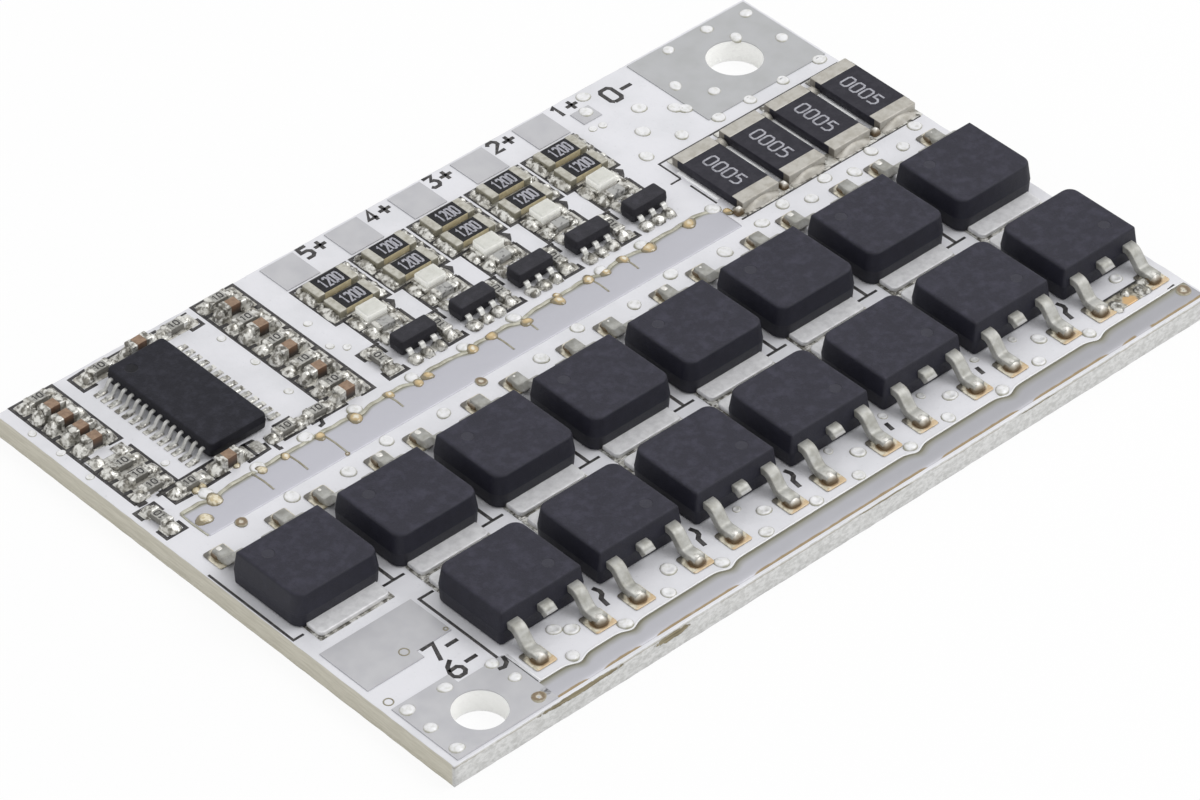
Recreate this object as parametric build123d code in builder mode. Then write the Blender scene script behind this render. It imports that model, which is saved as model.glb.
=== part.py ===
from build123d import *
import os

os.makedirs("parts", exist_ok=True)

# Battery management board: a white printed board that carries two rows of power
# transistors, a controller, current shunts, five balance channels and their small parts.
# Origin at the middle of the underside, X along the long edge, Y towards the battery pads.

# Board, its screw holes and the bare copper round them
board_thickness = 1.6
plating = 0.07  # tinned copper standing on the board
edge_margin = 0.25  # from a pad to the board's edge
left_pad_inset = 0.5  # from the left edge to the near pad and the output pad
near_hole_diameter = 3.3
near_hole_inset_x = 4.1
near_hole_inset_y = 2.45
near_pad_length = 7.5
near_pad_width = 5.55
far_hole_diameter = 3.7
far_hole_inset_x = 4.75
far_hole_inset_y = 4.2
far_pad_length = 10.1
far_pad_gap = 1.27  # from the shunts' pads

# Output pad, bus strips and battery pads
output_pad_length = 6.8
output_pad_width = 4.15
output_pad_gap = 2.0  # from the near pad to the output pad
label_inset = 4.7  # from the left edge to where the mask runs over both pads for their signs
near_pad_step = 0.85
output_pad_step = 0.65
front_strip_width = 1.65
front_strip_gap = 0.12  # from the near pad to the strip
middle_strip_width = 2.5
middle_strip_inset = 2.4
middle_strip_gap = 0.975  # from the strip's end to the shunts' pads
strip_clearance = 0.72  # from the front strip to the lead pads
row_clearance = 1.02  # from the lead pads to the middle strip
battery_pad_length = 2.6
battery_pad_width = 2.6
battery_pad_gap = 2.52
battery_pad_count = 5
battery_pad_inset = 0.725  # from where the first channel starts
battery_pad_clearance = 0.57  # from the bleed resistors' pads
sense_pad_length = 1.5
sense_pad_width = 1.3
sense_pad_gap = 1.15  # from the last battery pad
sense_pad_clearance = 4.5  # from the far pad

# Power transistors
transistor_gap = 1.06
back_row_count = 8
first_transistor_margin = 0.8
last_transistor_margin = 0.48
tab_gap = 0.36
moulding_width = 6.5
moulding_length = 5.85
moulding_height = 2.3
parting_height = 1.0
upper_draft = 9
moulding_corner = 0.5
moulding_edge = 0.14
tab_width = 5.2
tab_thickness = 0.3
tab_reach = 1.2
tab_corner = 0.25
tab_depth = 4.2  # how far the plate runs under the moulding
lead_width = 0.88
lead_thickness = 0.5
lead_spacing = 2.285
lead_root = 0.8  # length held inside the moulding
lead_shoulder = 0.45
lead_reach = 2.4
lead_foot = 1.15
lead_bend = 0.4
stub_reach = 0.65
lead_pad_width = 1.5
lead_pad_margin = 0.45
tab_pad_margin = 0.14

# Controller
controller_width = 4.4
controller_length = 9.7
controller_height = 1.0
controller_standoff = 0.1
controller_draft = 8
controller_edge = 0.12
pin_mark_diameter = 0.9
pin_mark_inset = 1.1
pin_mark_depth = 0.05
pin_pitch = 0.65
pins_per_side = 14
pin_width = 0.24
pin_thickness = 0.14
pin_reach = 1.0
pin_foot = 0.5
pin_shoulder = 0.2
pin_root = 0.3
pin_pad_margin = 0.3
pin_pad_width = 0.36

# Small resistors and capacitors
chip_length = 1.6
chip_width = 0.8
resistor_height = 0.45
capacitor_height = 0.8
chip_terminal = 0.32
chip_pad_length = 0.9
chip_pad_width = 0.95
chip_pad_overlap = 0.35  # how far the part stands on each of its pads
terminal_step = 0.03  # how far the end caps stand proud of the ceramic
column_gap = 0.365  # between the pads of two parts in a column
column_margin = 1.2  # from the left edge to the left column's pads
column_edge = 0.375  # from the columns' last pads to the back edge
filter_pairs = 5
lower_row_gap = 1.14  # from the middle strip to the lower row's pads
upper_row_edge = 0.62  # from the upper row's pads to the back edge
lower_resistor_insets = (4.3, 11.6, 13.9)
lower_capacitor_insets = (7.25,)
upper_resistor_insets = (6.95, 12.75)
upper_capacitor_inset = 9.95
corner_resistor_inset = 1.15
corner_resistor_drop = 1.15  # from the lower row
controller_gap_left = 1.45
controller_gap_right = 2.65
controller_gap_front = 0.41
controller_gap_back = 0.53

# Balance channels, one beside the other
channel_count = 5
channel_gap = 0.48
channel_shift = 0.535  # from a channel's middle to its bleed resistors
channel_margin = 1.675  # from the right column's pads to the first channel
bleed_length = 3.2
bleed_width = 1.55
bleed_height = 0.55
bleed_terminal = 0.5
bleed_pad_length = 1.0
bleed_pad_width = 1.75
bleed_gap = 0.23
lamp_length = 2.0
lamp_width = 1.3
lamp_base_height = 0.3
lamp_height = 0.8
lamp_terminal = 0.22
lamp_pad_length = 0.7
lamp_gap_front = 0.175
lamp_gap_back = 0.245
lens_draft = 3
lamp_resistor_gap = 0.1
switch_length = 2.9
switch_width = 1.3
switch_height = 1.05
switch_standoff = 0.08
switch_draft = 7
switch_pin_pitch = 0.95
switch_pins_per_side = 3
switch_pin_width = 0.42
switch_pin_thickness = 0.15
switch_pin_reach = 0.72
switch_pin_foot = 0.36
switch_pin_shoulder = 0.16
switch_pad_width = 0.55
switch_pad_length = 0.72
switch_clearance = 0.92  # from the middle strip to the switches' pads
gate_resistor_gap = 0.675
gate_resistor_clearance = 0.155  # from the switch of the channel before

# Current shunts
shunt_count = 4
shunt_gap = 0.85
shunt_margin = 0.12  # from the last shunt's pads to the right edge
shunt_clearance = 1.5  # from the lead pads to the shunts' pads
shunt_channel_gap = 1.6  # from the last channel to the first shunt's pads
shunt_length = 6.3
shunt_width = 3.1
shunt_height = 0.65
shunt_terminal = 1.0
shunt_pad_length = 1.7
shunt_pad_overlap = 1.2
shunt_pad_margin = 0.025

# Places along Y, measured from the front edge, row by row towards the back
lead_pads_front = edge_margin + front_strip_width + strip_clearance
front_row_y = lead_pads_front + lead_pad_margin + lead_reach + moulding_length / 2
back_row_y = front_row_y + moulding_length + 2 * tab_reach + tab_gap
lead_pads_back = back_row_y + moulding_length / 2 + lead_reach + lead_pad_margin
middle_strip_y = lead_pads_back + row_clearance
middle_strip_back = middle_strip_y + middle_strip_width
lower_row_y = middle_strip_back + lower_row_gap + chip_pad_width / 2
column_pitch = chip_pad_width + column_gap
column_rows = 2 * filter_pairs
column_top_y = lower_row_y + (column_rows - 1) * column_pitch
controller_y = lower_row_y + chip_pad_width / 2 + controller_gap_front + controller_length / 2
upper_row_y = controller_y + controller_length / 2 + controller_gap_back + chip_pad_width / 2
switch_pad_offset = switch_width / 2 + switch_pin_reach
switch_y = middle_strip_back + switch_clearance + switch_pad_length / 2 + switch_pad_offset
switch_back = switch_y + switch_pad_offset + switch_pad_length / 2
lamp_resistor_y = switch_back + lamp_resistor_gap + chip_pad_width / 2
lamp_y = lamp_resistor_y + chip_pad_width / 2 + lamp_gap_front + lamp_width / 2
bleed_y = lamp_y + lamp_width / 2 + lamp_gap_back + bleed_pad_width / 2
bleed_pitch = bleed_pad_width + bleed_gap
channels_back = bleed_y + bleed_pitch + bleed_pad_width / 2
shunt_reach = shunt_length / 2 - shunt_pad_overlap + shunt_pad_length
shunt_y = lead_pads_back + shunt_clearance + shunt_reach

# Places along X, measured from the left edge
transistor_pitch = moulding_width + transistor_gap
first_transistor_x = first_transistor_margin + moulding_width / 2
last_transistor_x = first_transistor_x + (back_row_count - 1) * transistor_pitch
chip_reach = chip_length / 2 - chip_pad_overlap + chip_pad_length
pin_pad_reach = controller_width / 2 + pin_reach + pin_pad_margin
left_column_x = column_margin + chip_reach
controller_x = left_column_x + chip_reach + controller_gap_left + pin_pad_reach
right_column_x = controller_x + pin_pad_reach + controller_gap_right + chip_reach
bleed_reach = bleed_length / 2 - bleed_terminal + bleed_pad_length
bleed_span = 2 * bleed_reach + channel_gap
switch_span = chip_pad_width + gate_resistor_gap + switch_length + gate_resistor_clearance
channel_pitch = max(bleed_span, switch_span)
first_channel_x = right_column_x + chip_reach + channel_margin
channels_end = first_channel_x + channel_count * channel_pitch
shunt_pad_width = shunt_width + 2 * shunt_pad_margin
shunt_pitch = shunt_width + shunt_gap
shunts_length = (shunt_count - 1) * shunt_pitch + shunt_pad_width + shunt_margin
battery_pad_pitch = battery_pad_length + battery_pad_gap
first_battery_pad = first_channel_x + battery_pad_inset
last_battery_pad = first_battery_pad + (battery_pad_count - 1) * battery_pad_pitch
sense_pad_x = last_battery_pad + battery_pad_length + sense_pad_gap

# The board is as long and as wide as the fullest of its rows and columns needs
board_length = max(
    last_transistor_x + moulding_width / 2 + last_transistor_margin,
    channels_end + shunt_channel_gap + shunts_length,
    sense_pad_x + sense_pad_length + sense_pad_clearance + far_pad_length + edge_margin,
)
board_width = max(
    column_top_y + chip_pad_width / 2 + column_edge,
    upper_row_y + chip_pad_width / 2 + upper_row_edge,
    channels_back + battery_pad_clearance + battery_pad_width + edge_margin,
)
left = -board_length / 2
right = board_length / 2
front = -board_width / 2
back = board_width / 2
pad_top = board_thickness + plating

on_top = (Align.CENTER, Align.CENTER, Align.MIN)
below = (Align.CENTER, Align.CENTER, Align.MAX)


def gull_wing(exit_height, root, shoulder, reach, foot, width, thickness, bend):
    """One formed lead: level out of a package face at y = 0, down a slope, level again on its pad."""
    centre = exit_height + thickness / 2
    corners = [
        (root, centre),
        (-shoulder, centre),
        (foot - reach, thickness / 2),
        (-reach, thickness / 2),
    ]
    with BuildPart() as lead:
        with BuildSketch(Plane.YZ):
            with BuildLine():
                if bend:
                    FilletPolyline(*corners, radius=bend)
                else:
                    Polyline(*corners)
            trace(line_width=thickness)
        extrude(amount=width / 2, both=True)
    return lead.part


def drafted_package(length, width, height, draft, standoff):
    """A moulded package that narrows above and below the plane where its mould parted."""
    with BuildPart() as package:
        with BuildSketch(Plane.XY.offset(standoff + height / 2)) as outline:
            Rectangle(length, width)
        extrude(amount=height / 2, taper=draft)
        extrude(outline.sketch, amount=-height / 2, taper=draft)
    return package.part


def end_caps(length, width, height, terminal):
    """The two plated ends of a chip part."""
    with BuildPart() as caps:
        with GridLocations(length - terminal, 0, 2, 1):
            Box(terminal, width, height, align=on_top)
    return caps.part


def ceramic(length, width, height, terminal):
    """The ceramic between the plated ends, a little smaller than they are."""
    with BuildPart() as block:
        with Locations((0, 0, terminal_step)):
            Box(
                length - 2 * terminal,
                width - 2 * terminal_step,
                height - 2 * terminal_step,
                align=on_top,
            )
    return block.part


def pad_pair(length, overlap, pad_length, pad_width):
    """Two pads that lie under the ends of a chip part and show past them."""
    with BuildPart() as pads:
        with GridLocations(length - 2 * overlap + pad_length, 0, 2, 1):
            Box(pad_length, pad_width, plating, align=below)
    return pads.part


# Circuit board with its two screw holes
near_hole = (left + near_hole_inset_x, front + near_hole_inset_y)
far_hole = (right - far_hole_inset_x, back - far_hole_inset_y)
with BuildPart() as circuit_board:
    Box(board_length, board_width, board_thickness, align=on_top)
    with Locations(near_hole):
        Hole(near_hole_diameter / 2)
    with Locations(far_hole):
        Hole(far_hole_diameter / 2)
circuit_board.part.label = "circuit_board"

# Bare tinned copper round the near hole
with BuildPart() as near_corner_pad:
    with BuildSketch(Plane.XY.offset(board_thickness)):
        with Locations((left + left_pad_inset, front + edge_margin)):
            Rectangle(near_pad_length, near_pad_width, align=Align.MIN)
        with Locations((left + label_inset, front + edge_margin + near_pad_width)):
            Rectangle(near_pad_length, near_pad_step, align=(Align.MIN, Align.MAX), mode=Mode.SUBTRACT)
        with Locations(near_hole):
            Circle(near_hole_diameter / 2, mode=Mode.SUBTRACT)
    extrude(amount=plating)
near_corner_pad.part.label = "near_corner_pad"

# Bare tinned copper round the far hole, as far as the shunts
far_pad_width = board_width - edge_margin - (shunt_y + shunt_reach + far_pad_gap)
with BuildPart() as far_corner_pad:
    with BuildSketch(Plane.XY.offset(board_thickness)):
        with Locations((right - edge_margin, back - edge_margin)):
            Rectangle(far_pad_length, far_pad_width, align=Align.MAX)
        with Locations(far_hole):
            Circle(far_hole_diameter / 2, mode=Mode.SUBTRACT)
    extrude(amount=plating)
far_corner_pad.part.label = "far_corner_pad"

# Output pad between the near corner and the transistors
output_pad_y = edge_margin + near_pad_width + output_pad_gap
with BuildPart() as output_pad:
    with BuildSketch(Plane.XY.offset(board_thickness)):
        with Locations((left + left_pad_inset, front + output_pad_y)):
            Rectangle(output_pad_length, output_pad_width, align=Align.MIN)
        with Locations((left + label_inset, front + output_pad_y)):
            Rectangle(output_pad_length, output_pad_step, align=Align.MIN, mode=Mode.SUBTRACT)
    extrude(amount=plating)
output_pad.part.label = "output_pad"

# Tinned strip along the front edge
front_strip_x = left_pad_inset + near_pad_length + front_strip_gap
front_strip_length = board_length - edge_margin - front_strip_x
with BuildPart() as front_bus_strip:
    with BuildSketch(Plane.XY.offset(board_thickness)):
        with Locations((left + front_strip_x, front + edge_margin)):
            Rectangle(front_strip_length, front_strip_width, align=Align.MIN)
    extrude(amount=plating)
front_bus_strip.part.label = "front_bus_strip"

# Tinned strip between the small parts and the transistors, as far as the shunts
middle_strip_length = board_length - shunts_length - middle_strip_gap - middle_strip_inset
with BuildPart() as middle_bus_strip:
    with BuildSketch(Plane.XY.offset(board_thickness)):
        with Locations((left + middle_strip_inset, front + middle_strip_y)):
            Rectangle(middle_strip_length, middle_strip_width, align=Align.MIN)
    extrude(amount=plating)
middle_bus_strip.part.label = "middle_bus_strip"

# Battery pads along the back edge, with the small sense pad after them
battery_pads_front = back - edge_margin - battery_pad_width
battery_pad_starts = [first_battery_pad + number * battery_pad_pitch for number in range(battery_pad_count)]
with BuildPart() as battery_pads:
    with BuildSketch(Plane.XY.offset(board_thickness)):
        for x in battery_pad_starts:
            with Locations((left + x, battery_pads_front)):
                Rectangle(battery_pad_length, battery_pad_width, align=Align.MIN)
        with Locations((left + sense_pad_x, battery_pads_front)):
            Rectangle(sense_pad_length, sense_pad_width, align=Align.MIN)
    extrude(amount=plating)
battery_pads.part.label = "battery_pads"

# Leadframe of a power transistor: the drain plate with its cut middle lead, and two formed leads
plate_length = tab_depth + tab_reach
plate_centre = moulding_length / 2 + tab_reach - plate_length / 2
plate_front = plate_centre - plate_length / 2
lead_centre = parting_height + lead_thickness / 2
with BuildPart() as leadframe:
    with BuildSketch() as plate_outline:
        with Locations((0, plate_centre)):
            Rectangle(tab_width, plate_length)
        chamfer(plate_outline.vertices().group_by(Axis.Y)[-1], tab_corner)
    extrude(amount=tab_thickness)
    with BuildSketch(Plane.YZ):
        with BuildLine():
            Polyline(
                (plate_front + lead_thickness, lead_thickness / 2),
                (plate_front - lead_thickness / 2, lead_centre),
                (-moulding_length / 2 - stub_reach, lead_centre),
            )
        trace(line_width=lead_thickness)
    extrude(amount=lead_width / 2, both=True)
    with Locations((-lead_spacing, -moulding_length / 2), (lead_spacing, -moulding_length / 2)):
        add(
            gull_wing(
                parting_height,
                lead_root,
                lead_shoulder,
                lead_reach,
                lead_foot,
                lead_width,
                lead_thickness,
                lead_bend,
            )
        )

# Moulding of a power transistor, cast round its leadframe
with BuildPart() as moulding:
    with BuildSketch(Plane.XY.offset(parting_height)) as parting_outline:
        Rectangle(moulding_width, moulding_length)
        chamfer(parting_outline.vertices().group_by(Axis.Y)[-1], moulding_corner)
    extrude(amount=moulding_height - parting_height, taper=upper_draft)
    extrude(parting_outline.sketch, amount=-parting_height)
    chamfer(moulding.faces().sort_by(Axis.Z)[-1].edges(), moulding_edge)
    add(leadframe.part, mode=Mode.SUBTRACT)

# Two rows of transistors, tab to tab: the back row's leads point back, the front row's forwards
transistors = [left + first_transistor_x + number * transistor_pitch for number in range(back_row_count)]
back_row = [Location((x, front + back_row_y, pad_top), (0, 0, 180)) for x in transistors]
front_row = [Location((x, front + front_row_y, pad_top)) for x in transistors[1:]]
for number, place in enumerate(back_row + front_row, start=1):
    with BuildPart() as transistor_frame:
        with Locations(place):
            add(leadframe.part)
    transistor_frame.part.label = f"transistor_frame_{number}"
    export_step(transistor_frame.part, f"parts/transistor_frame_{number}.step")
    with BuildPart() as transistor_body:
        with Locations(place):
            add(moulding.part)
    transistor_body.part.label = f"transistor_body_{number}"
    export_step(transistor_body.part, f"parts/transistor_body_{number}.step")

# Solder pads of the transistors: one under each tab and one under each foot
tab_pad_length = tab_depth + tab_reach + tab_pad_margin
tab_pad_centre = moulding_length / 2 + tab_reach + tab_pad_margin - tab_pad_length / 2
lead_pad_length = lead_foot + lead_pad_margin
lead_pad_centre = -moulding_length / 2 - lead_reach - lead_pad_margin + lead_pad_length / 2
with BuildPart() as transistor_pads:
    with Locations(*back_row, *front_row):
        with Locations((0, tab_pad_centre, 0)):
            Box(tab_width + 2 * tab_pad_margin, tab_pad_length, plating, align=below)
        with Locations((-lead_spacing, lead_pad_centre, 0), (lead_spacing, lead_pad_centre, 0)):
            Box(lead_pad_width, lead_pad_length, plating, align=below)
transistor_pads.part.label = "transistor_pads"

# Controller: a flat package with a round dimple at its first pin and formed pins down both sides
controller_place = Location((left + controller_x, front + controller_y, pad_top))
pin_exit = controller_standoff + (controller_height - pin_thickness) / 2
with BuildPart() as controller_pins:
    for side in (-1, 1):
        for number in range(pins_per_side):
            along = (number - (pins_per_side - 1) / 2) * pin_pitch
            pin_place = Location((side * controller_width / 2, along, 0), (0, 0, side * 90))
            with Locations(controller_place * pin_place):
                add(
                    gull_wing(
                        pin_exit,
                        pin_root,
                        pin_shoulder,
                        pin_reach,
                        pin_foot,
                        pin_width,
                        pin_thickness,
                        0,
                    )
                )
controller_pins.part.label = "controller_pins"

controller_mould = drafted_package(
    controller_width,
    controller_length,
    controller_height,
    controller_draft,
    controller_standoff,
)
with BuildPart() as controller_body:
    with Locations(controller_place):
        add(controller_mould)
    chamfer(controller_body.edges().group_by(Axis.Z)[-1].filter_by(Axis.X), controller_edge)
    with BuildSketch(Plane.XY.offset(pad_top + controller_standoff + controller_height)):
        with Locations(
            (
                left + controller_x - controller_width / 2 + pin_mark_inset,
                front + controller_y + controller_length / 2 - pin_mark_inset,
            )
        ):
            Circle(pin_mark_diameter / 2)
    extrude(amount=-pin_mark_depth, mode=Mode.SUBTRACT)
    add(controller_pins.part, mode=Mode.SUBTRACT)
controller_body.part.label = "controller_body"

with BuildPart() as controller_pads:
    with Locations(controller_place):
        with GridLocations(
            controller_width + 2 * pin_reach - pin_foot + pin_pad_margin,
            pin_pitch,
            2,
            pins_per_side,
        ):
            Box(pin_foot + pin_pad_margin, pin_pad_width, plating, align=below)
controller_pads.part.label = "controller_pads"

# Balance channels: two bleed resistors, a lamp with its resistor, a switch and its gate resistor
gate_resistor_offset = chip_pad_width / 2
switch_offset = chip_pad_width + gate_resistor_gap + switch_length / 2
bleed_offset = channel_pitch / 2 + channel_shift
channels = [left + first_channel_x + number * channel_pitch for number in range(channel_count)]
bleed_places = [
    (x + bleed_offset, front + bleed_y + step * bleed_pitch, pad_top) for x in channels for step in range(2)
]
with BuildPart() as bleed_resistor_bodies:
    with Locations(*bleed_places):
        add(ceramic(bleed_length, bleed_width, bleed_height, bleed_terminal))
bleed_resistor_bodies.part.label = "bleed_resistor_bodies"

with BuildPart() as bleed_resistor_ends:
    with Locations(*bleed_places):
        add(end_caps(bleed_length, bleed_width, bleed_height, bleed_terminal))
bleed_resistor_ends.part.label = "bleed_resistor_ends"

# Lamp: a ceramic base with plated ends and a cast lens on top
lamp_places = [(x + bleed_offset, front + lamp_y, pad_top) for x in channels]
with BuildPart() as lamp_bases:
    with Locations(*lamp_places):
        add(ceramic(lamp_length, lamp_width, lamp_base_height, lamp_terminal))
lamp_bases.part.label = "lamp_bases"

with BuildPart() as lamp_ends:
    with Locations(*lamp_places):
        add(end_caps(lamp_length, lamp_width, lamp_base_height, lamp_terminal))
lamp_ends.part.label = "lamp_ends"

lens_bottom = lamp_base_height - terminal_step
lens_length = lamp_length - 2 * lamp_terminal
with BuildPart() as lamp_lenses:
    for x, y, z in lamp_places:
        with BuildSketch(Plane.XY.offset(z + lens_bottom)):
            with Locations((x, y)):
                Rectangle(lens_length, lamp_width - 2 * terminal_step)
        extrude(amount=lamp_height - lens_bottom, taper=lens_draft)
lamp_lenses.part.label = "lamp_lenses"

# Switch of each channel, with three formed pins a side
switch_places = [Location((x + switch_offset, front + switch_y, pad_top)) for x in channels]
switch_exit = switch_standoff + (switch_height - switch_pin_thickness) / 2
with BuildPart() as switch_pins:
    for turn in (0, 180):
        outward = Location((0, 0, 0), (0, 0, turn)) * Location((0, -switch_width / 2, 0))
        for place in switch_places:
            with Locations(place * outward):
                with GridLocations(switch_pin_pitch, 0, switch_pins_per_side, 1):
                    add(
                        gull_wing(
                            switch_exit,
                            pin_root,
                            switch_pin_shoulder,
                            switch_pin_reach,
                            switch_pin_foot,
                            switch_pin_width,
                            switch_pin_thickness,
                            0,
                        )
                    )
switch_pins.part.label = "switch_pins"

switch_mould = drafted_package(
    switch_length,
    switch_width,
    switch_height,
    switch_draft,
    switch_standoff,
)
with BuildPart() as switch_bodies:
    with Locations(*switch_places):
        add(switch_mould)
    add(switch_pins.part, mode=Mode.SUBTRACT)
switch_bodies.part.label = "switch_bodies"

# Small parts in their two columns and three rows
left_column = left + left_column_x
right_column = left + right_column_x
rows = [front + column_top_y - number * column_pitch for number in range(column_rows)]
left_resistors = [(left_column, y) for y in rows[:1] + rows[6:9]]
left_capacitors = [(left_column, y) for y in rows[1:5]]
right_resistors = [(right_column, y) for y in rows[0::2]]
right_capacitors = [(right_column, y) for y in rows[1::2]]
lower_row = front + lower_row_y
upper_row = front + upper_row_y
lower_resistors = [(left + inset, lower_row) for inset in lower_resistor_insets]
lower_capacitors = [(left + inset, lower_row) for inset in lower_capacitor_insets]
upper_resistors = [(left + inset, upper_row) for inset in upper_resistor_insets]
upper_capacitors = [(left + upper_capacitor_inset, upper_row)]
lamp_resistors = [(x + bleed_offset, front + lamp_resistor_y) for x in channels]
gate_resistors = [(x + gate_resistor_offset, front + switch_y) for x in channels]
corner_resistor = (left + corner_resistor_inset, lower_row - corner_resistor_drop)
spare_place = Location((left_column, rows[filter_pairs], pad_top))

flat_resistors = (
    left_resistors + right_resistors + lower_resistors + upper_resistors + lamp_resistors
)
turned_resistors = gate_resistors + [corner_resistor]
resistor_places = [Location((x, y, pad_top)) for x, y in flat_resistors] + [
    Location((x, y, pad_top), (0, 0, 90)) for x, y in turned_resistors
]
capacitor_places = [
    Location((x, y, pad_top))
    for x, y in left_capacitors + right_capacitors + lower_capacitors + upper_capacitors
]

with BuildPart() as small_resistor_bodies:
    with Locations(*resistor_places):
        add(ceramic(chip_length, chip_width, resistor_height, chip_terminal))
small_resistor_bodies.part.label = "small_resistor_bodies"

with BuildPart() as small_resistor_ends:
    with Locations(*resistor_places):
        add(end_caps(chip_length, chip_width, resistor_height, chip_terminal))
small_resistor_ends.part.label = "small_resistor_ends"

with BuildPart() as capacitor_bodies:
    with Locations(*capacitor_places):
        add(ceramic(chip_length, chip_width, capacitor_height, chip_terminal))
capacitor_bodies.part.label = "capacitor_bodies"

with BuildPart() as capacitor_ends:
    with Locations(*capacitor_places):
        add(end_caps(chip_length, chip_width, capacitor_height, chip_terminal))
capacitor_ends.part.label = "capacitor_ends"

# Current shunts: ceramic blocks with wide plated ends
last_shunt = right - shunt_margin - shunt_pad_width / 2
shunt_places = [
    Location((last_shunt - number * shunt_pitch, front + shunt_y, pad_top), (0, 0, 90))
    for number in reversed(range(shunt_count))
]
for number, place in enumerate(shunt_places, start=1):
    with BuildPart() as shunt_body:
        with Locations(place):
            add(ceramic(shunt_length, shunt_width, shunt_height, shunt_terminal))
    shunt_body.part.label = f"shunt_body_{number}"
    export_step(shunt_body.part, f"parts/shunt_body_{number}.step")

with BuildPart() as shunt_ends:
    with Locations(*shunt_places):
        add(end_caps(shunt_length, shunt_width, shunt_height, shunt_terminal))
shunt_ends.part.label = "shunt_ends"

# Solder pads of the two-ended parts and of the switches
with BuildPart() as component_pads:
    with Locations(*resistor_places, *capacitor_places, spare_place):
        add(pad_pair(chip_length, chip_pad_overlap, chip_pad_length, chip_pad_width))
    with Locations(*bleed_places):
        add(pad_pair(bleed_length, bleed_terminal, bleed_pad_length, bleed_pad_width))
    with Locations(*lamp_places):
        add(pad_pair(lamp_length, lamp_terminal, lamp_pad_length, lamp_width))
    with Locations(*shunt_places):
        add(pad_pair(shunt_length, shunt_pad_overlap, shunt_pad_length, shunt_pad_width))
    with Locations(*switch_places):
        with GridLocations(
            switch_pin_pitch,
            2 * switch_pad_offset,
            switch_pins_per_side,
            2,
        ):
            Box(switch_pad_width, switch_pad_length, plating, align=below)
component_pads.part.label = "component_pads"

for piece in (
    circuit_board,
    near_corner_pad,
    far_corner_pad,
    output_pad,
    front_bus_strip,
    middle_bus_strip,
    battery_pads,
    transistor_pads,
    controller_body,
    controller_pins,
    controller_pads,
    bleed_resistor_bodies,
    bleed_resistor_ends,
    lamp_bases,
    lamp_ends,
    lamp_lenses,
    switch_bodies,
    switch_pins,
    small_resistor_bodies,
    small_resistor_ends,
    capacitor_bodies,
    capacitor_ends,
    shunt_ends,
    component_pads,
):
    export_step(piece.part, f"parts/{piece.part.label}.step")
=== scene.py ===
import math

import bmesh
import bpy
import numpy as np
from mathutils import Matrix, Vector


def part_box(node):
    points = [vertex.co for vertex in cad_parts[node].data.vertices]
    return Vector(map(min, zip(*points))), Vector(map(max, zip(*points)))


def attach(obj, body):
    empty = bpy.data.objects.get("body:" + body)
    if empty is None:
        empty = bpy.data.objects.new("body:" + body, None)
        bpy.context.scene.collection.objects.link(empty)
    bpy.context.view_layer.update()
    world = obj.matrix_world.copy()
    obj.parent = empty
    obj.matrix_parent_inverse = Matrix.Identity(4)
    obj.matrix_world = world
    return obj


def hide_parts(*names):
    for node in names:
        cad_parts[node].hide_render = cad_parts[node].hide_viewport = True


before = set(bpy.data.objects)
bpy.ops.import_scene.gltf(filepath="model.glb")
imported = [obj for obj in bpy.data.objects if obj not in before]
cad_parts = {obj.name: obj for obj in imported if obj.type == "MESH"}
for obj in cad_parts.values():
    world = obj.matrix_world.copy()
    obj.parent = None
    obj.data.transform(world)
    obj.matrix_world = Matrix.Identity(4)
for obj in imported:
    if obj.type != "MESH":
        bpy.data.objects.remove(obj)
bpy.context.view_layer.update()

# Studio: the board lies on a pale table in an even white room, with one soft lamp to its right.
# The camera stands where the photograph was taken from, a long lens looking down at the near
# left corner.
scene = bpy.context.scene
scene.view_settings.view_transform = "Standard"

room = bpy.data.worlds.new("white_room")
room.use_nodes = True
room_nodes, room_links = room.node_tree.nodes, room.node_tree.links
room_nodes["Background"].inputs["Color"].default_value = (1.0, 1.0, 1.0, 1.0)
room_rays = room_nodes.new("ShaderNodeLightPath")
strength_as_light = 0.8
strength_as_seen = 1.0
room_strength = room_nodes.new("ShaderNodeMapRange")
room_strength.inputs["To Min"].default_value = strength_as_light
room_strength.inputs["To Max"].default_value = strength_as_seen
seen_rays = room_nodes.new("ShaderNodeMath")
seen_rays.operation = "MAXIMUM"
room_links.new(room_rays.outputs["Is Camera Ray"], seen_rays.inputs[0])
room_links.new(room_rays.outputs["Is Glossy Ray"], seen_rays.inputs[1])
room_links.new(seen_rays.outputs["Value"], room_strength.inputs["Value"])
room_links.new(room_strength.outputs["Result"], room_nodes["Background"].inputs["Strength"])
scene.world = room

lamp_data = bpy.data.lights.new("soft_lamp", "AREA")
lamp_data.shape = "SQUARE"
lamp_data.size = 0.28
lamp_data.energy = 0.85
lamp = bpy.data.objects.new("soft_lamp", lamp_data)
lamp.location = (0.24, -0.18, 0.42)
lamp.rotation_euler = Vector(lamp.location).to_track_quat("Z", "Y").to_euler()
scene.collection.objects.link(lamp)

view_turn = math.radians(-42.709)
view_rise = math.radians(40.220)
view_roll = 0.00224
view_distance = 0.360467
view_target = Vector((-0.003244, -0.002699, 0.0016))
back = Vector(
    (
        math.sin(view_turn) * math.cos(view_rise),
        -math.cos(view_turn) * math.cos(view_rise),
        math.sin(view_rise),
    )
)
camera_data = bpy.data.cameras.new("camera")
camera_data.sensor_width = 36.0
camera_data.lens = 183.574
camera_data.clip_start = 0.01
camera = bpy.data.objects.new("camera", camera_data)
aim = back.to_track_quat("Z", "Y").to_matrix() @ Matrix.Rotation(view_roll, 3, "Z")
camera.matrix_world = Matrix.Translation(view_target + back * view_distance) @ aim.to_4x4()
scene.collection.objects.link(camera)
scene.camera = camera


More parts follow.
